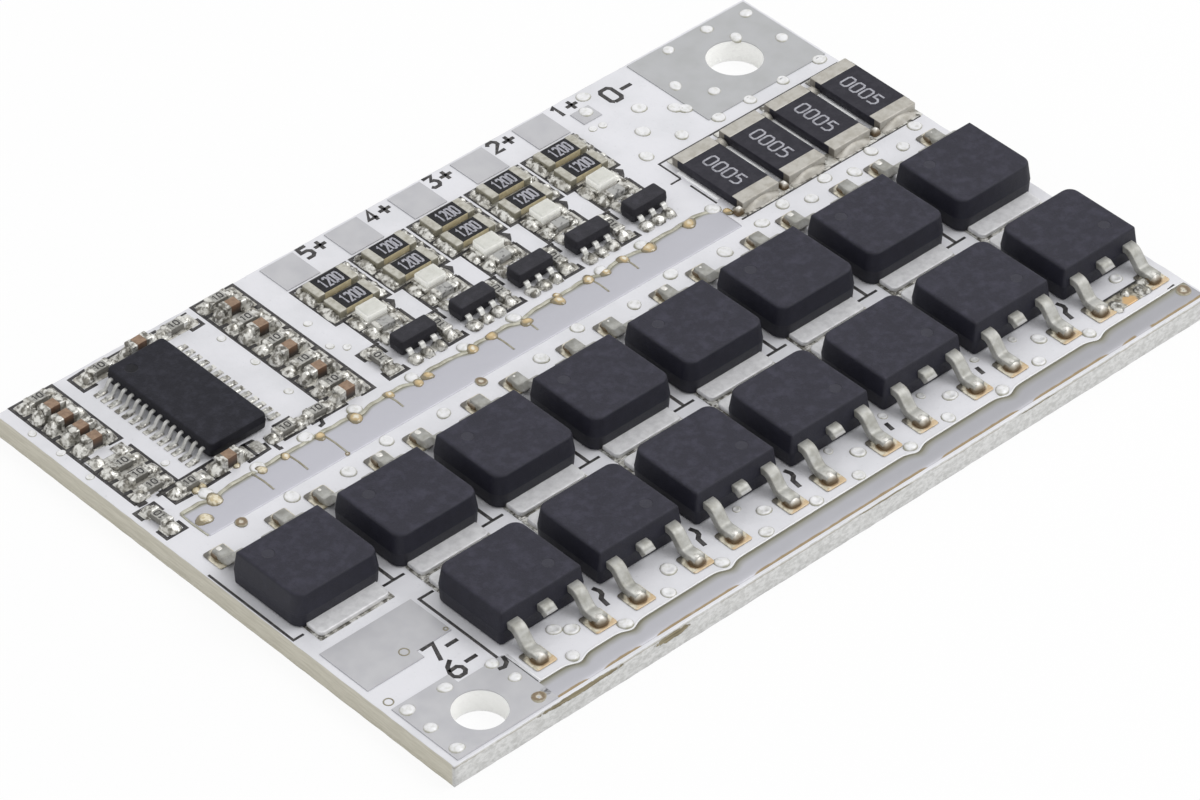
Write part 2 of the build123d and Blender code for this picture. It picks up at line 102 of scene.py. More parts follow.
# Laminate: 1.6 mm of woven glass and resin, routed to its outline with slightly ragged edges,
# drilled for two screws, and coated on both faces with glossy white solder mask. Its front edge
# is torn in a few places, where the brown resin shows.
thickness = 1.6
board_low, board_high = (np.array(corner) * 1000 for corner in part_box("circuit_board"))
board_length, board_width = (board_high - board_low)[:2]
near_hole = (4.1, 2.45, 1.65)  # x and y from the left front corner, and the radius
far_hole = (board_length - 4.75, board_width - 4.2, 1.85)
torn_places = [  # x, reach to each side, height, and drop
    (9.5, 3.2, 1.38, 0.2), (16.5, 1.4, 1.2, 0.26), (33.5, 2.2, 1.47, 0.06), (46.0, 1.6, 1.45, 0.05),
]
noise_source = np.random.default_rng(7)


class Link:
    """A node's output. Sums, products and powers of links and numbers add their Math nodes."""

    def __init__(self, finish, socket):
        self.finish = finish
        self.socket = socket

    def maths(self, operation, first, second=0.0):
        return self.finish.node("ShaderNodeMath", {"operation": operation}, {0: first, 1: second})

    def __add__(self, other):
        return self.maths("ADD", self, other)

    def __radd__(self, other):
        return self.maths("ADD", other, self)

    def __sub__(self, other):
        return self.maths("SUBTRACT", self, other)

    def __rsub__(self, other):
        return self.maths("SUBTRACT", other, self)

    def __mul__(self, other):
        return self.maths("MULTIPLY", self, other)

    def __pow__(self, other):
        return self.maths("POWER", self, other)

    def __abs__(self):
        return self.maths("ABSOLUTE", self)

    def most(self, other):
        return self.maths("MAXIMUM", self, other)

    def rise(self, low, high):
        """0 up to low, 1 from high on, and smooth between them."""
        settings = {"interpolation_type": "SMOOTHSTEP"}
        inputs = {"Value": self, "From Min": low, "From Max": high}
        return self.finish.node("ShaderNodeMapRange", settings, inputs)


class Finish:
    """A surface finish: one Principled shader with its fixed values, and the nodes that feed it."""

    def __init__(self, name, **fixed):
        self.material = bpy.data.materials.new(name)
        self.material.use_nodes = True
        self.tree = self.material.node_tree
        self.shader = self.tree.nodes["Principled BSDF"]
        for socket, value in fixed.items():
            self.shader.inputs[socket.replace("_", " ")].default_value = value

    def node(self, kind, settings, inputs, output=0):
        """Adds a node, sets it up, then gives its sockets their values or links."""
        new = self.tree.nodes.new(kind)
        for setting, value in settings.items():
            setattr(new, setting, value)
        for socket, value in inputs.items():
            if isinstance(value, Link):
                self.tree.links.new(value.socket, new.inputs[socket])
            else:
                new.inputs[socket].default_value = value
        return Link(self, new.outputs[output])

    def feed(self, **links):
        for socket, link in links.items():
            self.tree.links.new(link.socket, self.shader.inputs[socket.replace("_", " ")])

    def place(self):
        return self.node("ShaderNodeTexCoord", {}, {}, "Object")

    def own_place(self):
        """The point's place on its own part, in millimetres, from the piece's UV map."""
        return self.axes(self.node("ShaderNodeUVMap", {"uv_map": "own_place"}, {}))[:2]

    def facing(self):
        """How far the surface faces right, back and up, each from -1 to 1."""
        return self.axes(self.node("ShaderNodeNewGeometry", {}, {}, "Normal"))

    def upward(self):
        return self.facing()[2]

    def axes(self, vector):
        """The three numbers of a vector."""
        split = self.node("ShaderNodeSeparateXYZ", {}, {0: vector}).socket.node
        return [Link(self, output) for output in split.outputs]

    def stretched(self, x, y, z):
        """The place on the object, drawn out along an axis where its number is below 1."""
        return self.node("ShaderNodeMapping", {}, {"Vector": self.place(), "Scale": (x, y, z)})

    def noise(self, size, detail=2.0, roughness=0.5, vector=None):
        """Cloudy noise between 0 and 1 whose clouds are about `size` millimetres wide."""
        inputs = {
            "Vector": vector or self.place(),
            "Scale": 1000.0 / size,
            "Detail": detail,
            "Roughness": roughness,
        }
        return self.node("ShaderNodeTexNoise", {}, inputs)

    def mix(self, factor, first, second):
        """The first colour where the factor is 0 and the second where it is 1."""
        inputs = {0: factor, 6: first, 7: second}
        return self.node("ShaderNodeMix", {"data_type": "RGBA"}, inputs, 2)

    def relief(self, height, depth, normal=None):
        """Raises the surface by `height` times `depth` millimetres."""
        inputs = {"Height": height, "Strength": 1.0, "Distance": depth / 1000}
        if normal:
            inputs["Normal"] = normal
        return self.node("ShaderNodeBump", {}, inputs)


def tone(red, green, blue):
    """A colour as read from the photograph, turned into light: ((c + 0.055) / 1.055) ** 2.4."""
    light = ((np.array([red, green, blue]) / 255 + 0.055) / 1.055) ** 2.4
    return (*light.tolist(), 1.0)


def distance(x, y, centre_x, centre_y):
    """How far two links that stand for a place are from a centre: the root of the two squares."""
    return ((x - centre_x) ** 2.0 + (y - centre_y) ** 2.0) ** 0.5


def ragged_outline(step, depth):
    """The board's rectangle walked round anticlockwise in even steps, each point drawn inwards by
    up to `depth`: the mean of neighbouring random numbers times the depth."""
    corners = np.array([[0, 0], [board_length, 0], [board_length, board_width], [0, board_width]])
    walk = []
    for start, end in zip(corners, np.roll(corners, -1, axis=0)):
        share = np.linspace(0, 1, int(np.abs(end - start).sum() / step), endpoint=False)
        walk.append(start + share[:, None] * (end - start))
    walk = np.concatenate(walk)
    pull = noise_source.random(len(walk))
    pull = (pull + np.roll(pull, 1)) / 2 * depth
    middle = np.array([board_length, board_width]) / 2
    inward = np.sign(middle - walk) * (np.abs(walk - middle) > middle - 0.001)
    return walk + inward * pull[:, None]


def ring(centre_x, centre_y, radius, count=48):
    """Points evenly round a circle: centre plus radius times the cosine and sine."""
    turn = np.linspace(0, 2 * np.pi, count, endpoint=False)
    return np.stack([centre_x + radius * np.cos(turn), centre_y + radius * np.sin(turn)], axis=1)


def in_frame(points):
    """Millimetres from the board's left front corner, turned into the frame's metres."""
    return (points + np.array([board_low[0], board_low[1], 0.0])) / 1000


def filled_plate(name, outlines, low, high, edge):
    """A flat plate between two heights whose first outline is its rim and the others its holes.
    The rim and holes are rounded by `edge`, and the rounding stays inside the outlines."""
    curve = bpy.data.curves.new(name, "CURVE")
    curve.dimensions = "2D"
    curve.fill_mode = "BOTH"
    curve.extrude = ((high - low) / 2 - edge) / 1000
    curve.bevel_depth = edge / 1000
    curve.bevel_resolution = 1
    curve.offset = -edge / 1000
    for outline in outlines:
        spline = curve.splines.new("POLY")
        spline.points.add(len(outline) - 1)
        flat = np.zeros((len(outline), 3))
        flat[:, :2] = outline
        flat = np.column_stack([in_frame(flat), np.ones(len(flat))])
        spline.points.foreach_set("co", flat.ravel())
        spline.use_cyclic_u = True
    source = bpy.data.objects.new(name + "_outline", curve)
    scene.collection.objects.link(source)
    depsgraph = bpy.context.evaluated_depsgraph_get()
    mesh = bpy.data.meshes.new_from_object(source.evaluated_get(depsgraph))
    bpy.data.objects.remove(source)
    mesh.transform(Matrix.Translation((0, 0, (low + high) / 2000)))
    mesh.name = name
    mesh.materials.clear()
    piece = bpy.data.objects.new(name, mesh)
    scene.collection.objects.link(piece)
    return piece


board = filled_plate(
    "laminate_board",
    [ragged_outline(0.4, 0.05), ring(*near_hole), ring(*far_hole)],
    0.0,
    thickness,
    0.05,
)

mask = Finish("white_solder_mask", IOR=1.5, Coat_Roughness=0.15)
across, along, height = mask.axes(mask.place())
across = across * 1000 - float(board_low[0])
along = along * 1000 - float(board_low[1])
height = height * 1000
upward = mask.upward()
face = abs(upward).rise(0.45, 0.8)
cloud = mask.noise(3.0, 3.0)
speck = mask.noise(0.25, 3.0, 0.6)
coating = mask.mix(cloud.rise(0.35, 0.75) * 0.55, tone(225, 225, 230), tone(207, 208, 212))
coating = mask.mix(speck.rise(0.62, 0.8) * 0.5, coating, tone(196, 197, 201))
layers = mask.noise(0.16, 3.0, 0.7, mask.stretched(0.08, 0.08, 1.0))
fibres = mask.noise(0.24, 4.0, 0.7, mask.stretched(0.6, 0.6, 1.0))
front_side = (along * -1).rise(-0.3, -0.1)
cut = mask.mix(layers.rise(0.3, 0.7), tone(190, 186, 171), tone(207, 203, 189))
# The front cut face is paler and greyer than the other cut edges: partly its own grey, partly
# painted light.
pale_cut = mask.mix(fibres.rise(0.35, 0.65), tone(220, 220, 219), tone(194, 194, 192))
seam = (1 - abs(height - 1.45 + (fibres - 0.5) * 0.08).rise(0.015, 0.06)) * cloud.rise(0.3, 0.5)
cut = mask.mix(front_side, cut, mask.mix(seam * 0.6, pale_cut, tone(150, 140, 118)))
ragged = mask.noise(0.45, 4.0, 0.65)
torn = 0.0
for x, reach, level, drop in torn_places:
    gone = ((across - x) * (1 / reach)) ** 2.0 + ((height - level) * (1 / drop)) ** 2.0
    torn = (1 - (gone + (ragged - 0.5) * 2.2).rise(0.75, 1.05)).most(torn)
torn = torn * front_side
cut = mask.mix(torn, cut, mask.mix(layers.rise(0.3, 0.7), tone(156, 147, 120), tone(108, 98, 74)))
walls, rings_below = 0.0, 0.0
for x, y, radius in (near_hole, far_hole):
    away = distance(across, along, x, y)
    walls = (1 - away.rise(radius + 0.1, radius + 0.3)).most(walls)
    rings_below = (1 - away.rise(radius + 1.2, radius + 1.24)).most(rings_below)
# Painted reflection: the walls of the two holes are painted near white, for their tinned barrels
# catching the white room.
cut = mask.mix(walls, cut, tone(255, 255, 253))
rings_below = rings_below * (upward * -1).rise(0.4, 0.9)
mask.feed(
    Base_Color=mask.mix(rings_below, mask.mix(face, cut, coating), tone(188, 189, 192)),
    Metallic=rings_below * 0.6,
    Roughness=0.75 - face * (0.42 - cloud * 0.08),
    Coat_Weight=face * 0.25,
    Normal=mask.relief(
        (fibres - torn * 1.5) * (1 - face),
        0.04,
        mask.relief(mask.noise(0.45, 2.0) * face, 0.02, mask.relief(speck * face, 0.008)),
    ),
)
board.data.materials.append(mask.material)
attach(board, "root")
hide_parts("circuit_board")

# Floor: a plain pale table top that keeps the board's soft shadow. It lies a hair below the board
# and is clear from underneath, so the board's underside can be looked at and is lit.
table_reach = 3.0
table_drop = 2e-5
table = bpy.data.meshes.new("table_top")
table_corners = [
    (x * table_reach, y * table_reach, -table_drop)
    for x, y in ((-1, -1), (1, -1), (1, 1), (-1, 1))
]
table.from_pydata(table_corners, [], [(0, 1, 2, 3)])
floor = bpy.data.objects.new("table_top", table)
scene.collection.objects.link(floor)
table_finish = Finish("pale_table", Base_Color=(0.9, 0.9, 0.9, 1.0), Roughness=0.9)
table_rays = table_finish.tree.nodes.new("ShaderNodeLightPath")
table_glow = table_finish.tree.nodes.new("ShaderNodeEmission")
table_mix = table_finish.tree.nodes.new("ShaderNodeMixShader")
table_seen = Link(table_finish, table_rays.outputs["Is Camera Ray"]) * 0.9
table_seen = table_seen.most(Link(table_finish, table_rays.outputs["Is Glossy Ray"]) * 0.85)
table_links = table_finish.tree.links
table_links.new(table_seen.socket, table_mix.inputs[0])
table_links.new(table_finish.shader.outputs[0], table_mix.inputs[1])
table_links.new(table_glow.outputs[0], table_mix.inputs[2])
table_clear = table_finish.tree.nodes.new("ShaderNodeBsdfTransparent")
table_sides = table_finish.tree.nodes.new("ShaderNodeMixShader")
touching = 1 - Link(table_finish, table_rays.outputs["Ray Length"]).rise(5e-5, 1e-4)
from_below = table_finish.node("ShaderNodeNewGeometry", {}, {}, "Backfacing").most(touching)
table_links.new(from_below.socket, table_sides.inputs[0])
table_links.new(table_mix.outputs[0], table_sides.inputs[1])
table_links.new(table_clear.outputs[0], table_sides.inputs[2])
table_links.new(table_sides.outputs[0], table_finish.tree.nodes["Material Output"].inputs[0])
table.materials.append(table_finish.material)

# Printed marks: black ink screened on the white mask in lines about a quarter of a millimetre
# wide, round the parts' places and between the transistors, with plain numbers and signs beside
# the wire pads.
ink_width = 0.24
ink_height = 0.02


def carried(path, profile, fixed):
    """A closed profile carried along a path that bends round one fixed axis. A profile row is
    (along the axis, across the path). The tangent is the mean of the two runs that meet at a
    point, across is the axis crossed with it, and across is stretched by one over the cosine of
    half the turn, up to 1.5, so that the width stays even."""
    run = np.diff(path, axis=0)
    run = run / np.linalg.norm(run, axis=1, keepdims=True)
    tangent = np.vstack([run[:1], run[:-1] + run[1:], run[-1:]])
    tangent = tangent / np.linalg.norm(tangent, axis=1, keepdims=True)
    stretch = np.ones(len(path))
    stretch[1:-1] = 1 / np.maximum((tangent[1:-1] * run[1:]).sum(axis=1), 0.667)
    across = np.cross(fixed, tangent) * stretch[:, None]
    points = path[:, None] + profile[None, :, :1] * np.array(fixed, float)
    points = points + profile[None, :, 1:] * across[:, None]
    return points.reshape(-1, 3), tube_faces(len(path), len(profile))


def tube_faces(rows, columns):
    """Quads between the rings of a tube, and one many-sided face to close each of its ends."""
    start = np.arange(rows - 1)[:, None] * columns
    here = np.arange(columns)[None, :]
    there = (here + 1) % columns
    quads = np.stack([start + here, start + there, start + there + columns, start + here + columns])
    ends = [list(range(columns))[::-1], list(range((rows - 1) * columns, rows * columns))]
    return quads.reshape(4, -1).T.tolist() + ends


def gathered(shapes):
    """Several (points, faces) shapes as one: each shape's faces count on from the last shape."""
    points, faces, count = [], [], 0
    for shape_points, shape_faces in shapes:
        points.append(shape_points)
        faces.extend([[corner + count for corner in face] for face in shape_faces])
        count += len(shape_points)
    return np.concatenate(points), faces


def made(name, shape, finish, slot, *replaced, local=None):
    """A smooth piece from points in millimetres and its faces, turned to face outwards, with its
    finish. The slot is not used. It stands for the replaced nodes. `local` gives each point's place
    on its own part, kept as the piece's UV map."""
    points, faces = shape
    mesh = bpy.data.meshes.new(name)
    mesh.from_pydata(in_frame(points).tolist(), [], faces)
    if local is not None:
        local = np.tile(local[:, :2], (len(points) // len(local), 1))
        layer = mesh.uv_layers.new(name="own_place")
        corners = np.zeros(len(mesh.loops), int)
        mesh.loops.foreach_get("vertex_index", corners)
        layer.data.foreach_set("uv", local[corners].ravel())
    work = bmesh.new()
    work.from_mesh(mesh)
    bmesh.ops.recalc_face_normals(work, faces=work.faces)
    work.to_mesh(mesh)
    work.free()
    mesh.polygons.foreach_set("use_smooth", np.ones(len(mesh.polygons), bool))
    mesh.materials.append(finish.material)
    piece = bpy.data.objects.new(name, mesh)
    scene.collection.objects.link(piece)
    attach(piece, "root")
    if replaced:
        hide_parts(*replaced)


def line(*corners, width=ink_width, height=ink_height, base=thickness):
    """A printed line through the corners: a low flat-topped section carried along them."""
    path = np.column_stack([np.array(corners, float), np.full(len(corners), base)])
    half = width / 2
    profile = np.array([[0, -half], [height, -half * 0.8], [height, half * 0.8], [0, half]])
    return carried(path, profile, (0, 0, 1))


# Each sign is drawn with straight strokes in a box 1 wide and 1.6 high.
strokes = {
    "0": [
        [
            (0.2, 0), (0.8, 0), (1, 0.25), (1, 1.35), (0.8, 1.6), (0.2, 1.6), (0, 1.35), (0, 0.25),
            (0.2, 0),
        ],
    ],
    "1": [[(0.15, 1.3), (0.55, 1.6), (0.55, 0)]],
    "2": [[(0, 1.3), (0.25, 1.6), (0.75, 1.6), (1, 1.3), (1, 1), (0, 0), (1, 0)]],
    "3": [
        [
            (0, 1.6), (1, 1.6), (0.5, 0.95), (0.8, 0.9), (1, 0.6), (1, 0.3), (0.75, 0), (0.2, 0),
            (0, 0.25),
        ],
    ],
    "4": [[(0.75, 0), (0.75, 1.6), (0, 0.45), (1, 0.45)]],
    "5": [[(1, 1.6), (0.1, 1.6), (0.05, 0.95), (0.7, 0.95), (1, 0.7), (1, 0.25), (0.7, 0), (0, 0)]],
    "6": [
        [
            (0.85, 1.6), (0.3, 1.2), (0, 0.6), (0, 0.25), (0.25, 0), (0.75, 0), (1, 0.25), (1, 0.6),
            (0.75, 0.85), (0.05, 0.8),
        ],
    ],
    "7": [[(0, 1.6), (1, 1.6), (0.35, 0)]],
    "+": [[(0.0, 0.75), (1.3, 0.75)], [(0.65, 0.1), (0.65, 1.4)]],
    "-": [[(0, 0.8), (1, 0.8)]],
}


def written(text, x, y, size, turn=0.0, width=ink_width, base=thickness, slim=1.0):
    """Numbers and signs from the strokes above, `size` high, starting at (x, y) and turned about
    it: every corner is scaled by size / 1.6, and by `slim` along the text, stepped on by its
    place in the text, then rotated."""
    shapes = []
    scale = np.array([slim, 1.0]) * size / 1.6
    spin = np.array([[math.cos(turn), math.sin(turn)], [-math.sin(turn), math.cos(turn)]])
    for place, sign in enumerate(text):
        for stroke in strokes[sign]:
            corners = (np.array(stroke) + (place * 1.45, 0)) * scale @ spin + (x, y)
            shapes.append(line(*corners.tolist(), width=width, base=base))
    return shapes


column_rows = [39.75 - 1.315 * number for number in range(10)]
channels = [19.375 + 4.68 * number for number in range(5)]
transistor_columns = [4.05 + 7.56 * number for number in range(8)]
over_skin = thickness + 0.03
over_lip = thickness + 0.06
marks = []
for width, *corners in (  # the width of a line, then the corners it runs through
    (0.24, (1.0, 28.75), (1.0, 40.46), (4.13, 40.46), (4.13, 33.98), (3.2, 34.02)),
    (0.24, (4.13, 33.2), (4.13, 28.8)),
    (0.24, (1.0, 28.8), (1.6, 28.8)),
    (0.24, (14.85, 27.4), (14.85, 40.46), (18.05, 40.46), (18.05, 27.45), (17.0, 27.45)),
    (0.24, (13.9, 28.65), (13.25, 28.3), (13.25, 27.42), (15.95, 27.42)),
    (0.24, (0.45, 27.45), (0.45, 28.25), (1.88, 28.25), (1.88, 27.4)),
    (0.24, (0.45, 26.2), (0.45, 25.3), (1.88, 25.3), (1.88, 26.1)),
    (0.24, (4.0, 27.3), (2.8, 27.35), (2.8, 28.72), (6.9, 28.85)),
    (0.24, (5.0, 27.3), (6.9, 27.38)),
    (0.24, (5.95, 28.8), (5.95, 27.35)),
    (0.24, (8.2, 27.3), (9.9, 27.4), (9.97, 28.0)),
    (0.24, (9.0, 28.75), (9.0, 27.35)),
    (0.24, (8.8, 28.68), (9.6, 28.62), (9.72, 28.1)),
    (0.26, (10.32, 28.35), (10.36, 27.0), (10.55, 26.97)),
    (0.24, (11.3, 28.78), (12.65, 28.78)),
    (0.24, (11.2, 28.5), (10.85, 28.1), (10.9, 27.9)),
    (0.22, (11.0, 27.4), (12.65, 27.4), (12.82, 28.0)),
    (0.26, (13.85, 27.42), (13.7, 27.0), (13.35, 26.92)),
    (0.24, (6.2, 38.75), (5.2, 38.75), (5.2, 40.15), (6.5, 40.25)),
    (0.24, (8.1, 40.15), (9.3, 40.15)),
    (0.24, (11.3, 40.2), (11.9, 40.2)),
    (0.24, (13.5, 39.3), (13.55, 38.78), (14.38, 38.82), (14.38, 39.35), (13.9, 39.4)),
    (0.14, (12.6, 40.25), (14.3, 40.3)),
    (0.14, (45.05, 29.8), (45.05, 31.72), (60.45, 31.72)),
    (0.14, (45.02, 28.85), (45.02, 26.5)),
    (0.14, (45.05, 24.3), (60.4, 24.3)),
    (0.14, (44.2, 29.75), (45.05, 29.75)),
    (0.18, (0.95, 13.85), (0.2, 13.85), (0.2, 21.3)),
    (0.2, (8.75, 11.66), (7.7, 11.66), (7.7, 4.95)),
    (0.22, (8.0, 4.9), (8.0, 4.0)),
    (0.12, (8.06, 4.0), (8.06, 2.0)),
    (0.25, (59.3, 2.02), (59.9, 2.1)),
):
    marks.append(line(*corners, width=width))
marks.append(line((7.05, 4.22), (7.45, 4.12), (7.8, 4.35), (7.95, 4.85), width=0.3, base=over_lip))
for row in column_rows[:-1]:
    for x in (1.0, 14.85):
        marks.append(line((x, row - 0.62), (x + 0.62, row - 0.66), width=0.3, base=over_skin))
    marks.append(line((17.6, row - 0.66), (18.05, row - 0.62), width=0.4, base=over_skin))
for row in column_rows[5:-1]:
    marks.append(line((2.4, row - 0.66), (4.13, row - 0.66), width=0.26, base=over_skin))
for row in column_rows[:4]:
    marks.append(line((3.55, row - 0.66), (4.13, row - 0.66), width=0.36, base=over_skin))
for x in channels:
    marks += [
        line(
            (x + 2.3, 33.37), (x + 0.8, 33.37), (x + 0.8, 37.5), (x + 5.07, 37.5),
            (x + 5.07, 33.37), (x + 3.95, 33.37),
        ),
        line((x + 1.4, 33.3), (x + 1.4, 30.62), (x + 2.4, 30.65)),
        line((x + 3.85, 30.65), (x + 4.57, 30.7), (x + 4.57, 31.95)),
        line((x + 1.4, 32.0), (x + 2.05, 32.0), width=0.3, base=over_skin),
        line((x + 4.1, 32.0), (x + 4.57, 32.0), base=over_skin),
        line(
            (x + 3.95, 33.3), (x + 4.5, 33.12), (x + 4.74, 32.8), (x + 4.52, 32.48),
            (x + 4.25, 32.2), width=0.34, base=over_skin,
        ),
        line((x + 0.8, 35.45), (x + 1.35, 35.5), base=over_skin),
        line((x + 4.75, 35.35), (x + 5.07, 35.3), base=over_skin),
        line((x - 0.12, 29.55), (x - 0.15, 30.36), (x + 1.55, 30.38), width=0.23),
        line((x + 1.38, 30.3), (x + 1.38, 29.4)),
        line((x - 0.12, 28.15), (x - 0.15, 27.4), (x + 1.3, 27.4), (x + 1.25, 27.9)),
    ]
for x in transistor_columns[:-1]:
    marks.append(line((x + 3.66, 15.3), (x + 3.66, 13.87)))
    marks.append(line((x + 2.85, 13.87), (x + 4.45, 13.87), width=0.2))
for number, x in enumerate(transistor_columns[1:-1]):
    hook = [(x + 3.95, 5.7), (x + 4.1, 5.25), (x + 4.03, 4.98), (x + 3.73, 4.72), (x + 3.64, 4.02)]
    worn_corners = 3 if number in (3, 4) else 0
    marks.append(line(*hook[worn_corners:], width=0.3))
marks += written("7-", 4.92, 6.98, 1.4, width=0.28) + written("6-", 4.86, 5.28, 1.4, width=0.28)
for text, x in (("5+", 23.02), ("4+", 28.2), ("3+", 33.2), ("2+", 38.4), ("1+", 43.7)):
    marks += written(text, x, 39.3, 1.08, width=0.27)
marks += written("0-", 47.2, 38.2, 1.4, width=0.3)


def clouded(finish, colour, cloud, roughness, swing, depth):
    """Feeds the finish its colour, a roughness of `roughness` + cloud * `swing`, and the cloud
    itself as a relief of `depth` millimetres."""
    finish.feed(
        Base_Color=colour,
        Roughness=roughness + cloud * swing,
        Normal=finish.relief(cloud, depth),
    )


ink = Finish("black_ink")
ink_wear = ink.noise(0.25, 3.0, 0.6)
ink_tone = ink.mix(ink_wear.rise(0.42, 0.8), tone(44, 42, 44), tone(92, 90, 87))
clouded(ink, ink_tone, ink_wear, roughness=0.45, swing=0.25, depth=0.01)
made("printed_marks", gathered(marks), ink, "black_glaze")

# Bare copper areas: dipped in tin and levelled with hot air, so they are a soft grey with faint
# waves. The wire pads and the screw pads keep the CAD's shapes.
for name, light_tone, dark_tone, *nodes in (
    (
        "levelled_tin", (194, 194, 197), (186, 186, 190),
        "near_corner_pad", "output_pad", "battery_pads",
    ),
    ("dull_levelled_tin", (184, 185, 187), (178, 179, 180), "far_corner_pad"),
):
    tin = Finish(name, Metallic=0.5, IOR=1.5)
    tin_wave = tin.noise(1.6, 2.0)
    tin_grain = tin.noise(0.12, 3.0, 0.6)
    tin.feed(
        Base_Color=tin.mix(tin_wave.rise(0.3, 0.75), tone(*light_tone), tone(*dark_tone)),
        Roughness=0.45 + tin_wave * 0.15,
        Normal=tin.relief(tin_wave, 0.02, tin.relief(tin_grain, 0.004)),
    )
    for node in nodes:
        bare_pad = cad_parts[node]
        bare_pad.data.materials.clear()
        bare_pad.data.materials.append(tin.material)

# Bus strips: two long lines of bare tinned copper for the battery current. Beside the mask's edge
# each is painted darker in an olive band, painted shade under the edge mixed with dried flux, and
# along the front rim flux dried as a thin broken brown line.
strip_top = 1.67
edge_domes = [
    (10.9, 2.25), (14.9, 2.2), (22.5, 2.3), (37.6, 2.25), (45.2, 2.2), (52.8, 2.4),
    (20.25, 26.6), (24.35, 26.65), (28.4, 26.65), (35.3, 26.45), (38.8, 26.6), (4.6, 26.85),
    (15.85, 26.7), (44.4, 26.2),
]


def mask_edge(x, y):
    """Where the mask's edge runs beside a strip: it dips from y round each dome that stands on it,
    by 0.32 * exp(-((x - dome) / 0.6) ** 2)."""
    domes = np.array([dome[0] for dome in edge_domes if abs(dome[1] - y) < 0.55])
    return y - 0.32 * np.exp(-(((np.asarray(x)[..., None] - domes) / 0.6) ** 2)).sum(axis=-1)


def strip(x0, x1, y0, y1, columns, rows=9):
    """A tinned strip over a rectangle. Across it, v runs from -1 to 1 and the height is 1 - v ** 8
    of the tin's thickness, so its edges roll down. Its own place is (x, how far from y1)."""
    x = np.linspace(x0, x1, columns)[:, None]
    v = np.sin(np.linspace(-np.pi / 2, np.pi / 2, rows))[None, :]
    y1 = mask_edge(x, y1)
    y = (y0 + y1) / 2 + v * (y1 - y0) / 2 + 0 * x
    z = thickness + (strip_top - thickness) * (1 - v**8) + 0 * x
    top = np.stack([x + 0 * v, y, z], axis=2)
    under = top[:, ::-1].copy()
    under[:, :, 2] = thickness - 0.02
    points = np.concatenate([top, under], axis=1).reshape(-1, 3)
    below = np.concatenate([y1 - y, (y1 - y)[:, ::-1]], axis=1).ravel()
    return points, tube_faces(columns, 2 * rows), np.column_stack([points[:, 0], below])


for name, node, extent, band, rim, light_tone, dark_tone in (
    (
        "front_strip_tin", "front_bus_strip", (7.62, board_length - 0.25, 0.25, 1.93),
        0.26, 1.6, (184, 184, 190), (168, 168, 173),
    ),
    (
        "middle_strip_tin", "middle_bus_strip", (2.4, 44.6, 23.8, 26.38),
        0.15, 9.0, (190, 190, 198), (186, 186, 193),
    ),
):
    points, faces, own = strip(*extent, 360)
    strip_tin = Finish(name, Metallic=0.5, IOR=1.5)
    along_strip, below_edge = strip_tin.own_place()
    waver = strip_tin.noise(0.9, 3.0, 0.6)
    below_edge = below_edge + (waver - 0.5) * 0.12
    dulled = (strip_tin.noise(4.0, 2.0) - 0.5) * 0.6 + along_strip * (1 / board_length)
    shine = strip_tin.mix(dulled.rise(0.1, 1.0), tone(*light_tone), tone(*dark_tone))
    # Painted shade: an olive band darkens the tin just below the mask's edge, mixed with the flux
    # there.
    shine = strip_tin.mix(1 - below_edge.rise(band * 0.8, band * 2.6), shine, tone(154, 153, 144))
    shine = strip_tin.mix(1 - below_edge.rise(band * 0.5, band * 1.1), shine, tone(136, 133, 116))
    broken = strip_tin.noise(2.2, 1.0).rise(0.2, 0.3) * abs(along_strip - 55.3).rise(0.55, 0.75)
    brown_rim = below_edge.rise(rim - 0.1, rim - 0.02) * broken
    shine = strip_tin.mix(brown_rim, shine, tone(142, 125, 96))
    clouded(strip_tin, shine, waver, roughness=0.42, swing=0.2, depth=0.02)
    made(name, (points, faces), strip_tin, "tinned_copper", node, local=own)

# Plugged holes: small plated holes through the board, closed with white mask that stands up as
# a low glossy ring with a sunk middle, and as round domes where it is thick.
via_rows = [
    (18.5, 2.5), (26.2, 2.5), (30.2, 2.5), (33.6, 2.45), (41.1, 2.6), (48.7, 2.6), (11.6, 4.6),
    (12.35, 3.95), (19.85, 3.95), (27.4, 3.95), (35.0, 3.95), (42.6, 3.95), (50.2, 4.05),
    (8.1, 23.25), (11.95, 22.7), (15.4, 23.3), (19.5, 22.9), (27.1, 22.75), (30.6, 23.4),
    (34.6, 22.7), (38.2, 23.35), (42.1, 22.7), (45.7, 23.2), (47.9, 23.7), (49.6, 22.9),
    (51.6, 23.8), (53.4, 23.0), (55.6, 23.8), (57.4, 22.8), (59.4, 23.8), (48.0, 36.7),
    (46.55, 34.8), (49.7, 35.2), (50.1, 34.7), (45.0, 32.8), (48.1, 32.9), (51.0, 32.65),
    (53.7, 32.65), (56.6, 32.7), (59.8, 32.7), (46.2, 39.9), (57.7, 4.9), (12.1, 26.75),
    (8.3, 26.55),
]
small_vias = [
    (44.45, 37.1), (45.15, 36.95), (19.0, 34.6), (18.6, 32.1), (19.3, 31.35), (14.1, 30.6),
    (14.3, 37.0), (4.6, 30.5), (0.7, 35.3), (0.55, 37.8), (0.6, 32.5), (14.4, 34.0), (26.3, 5.1),
    (33.8, 5.2), (38.35, 5.3), (41.3, 5.1), (46.0, 5.3), (49.0, 5.1),
]
pad_dots = [
    (1.1, 5.15), (3.85, 5.1), (7.1, 4.8), (1.1, 3.2), (7.3, 3.1), (1.1, 1.0), (53.4, 39.8),
    (56.7, 39.75), (59.7, 39.3), (51.2, 36.8), (52.6, 34.75), (59.6, 35.9), (57.5, 37.9),
    (45.25, 38.6),
]


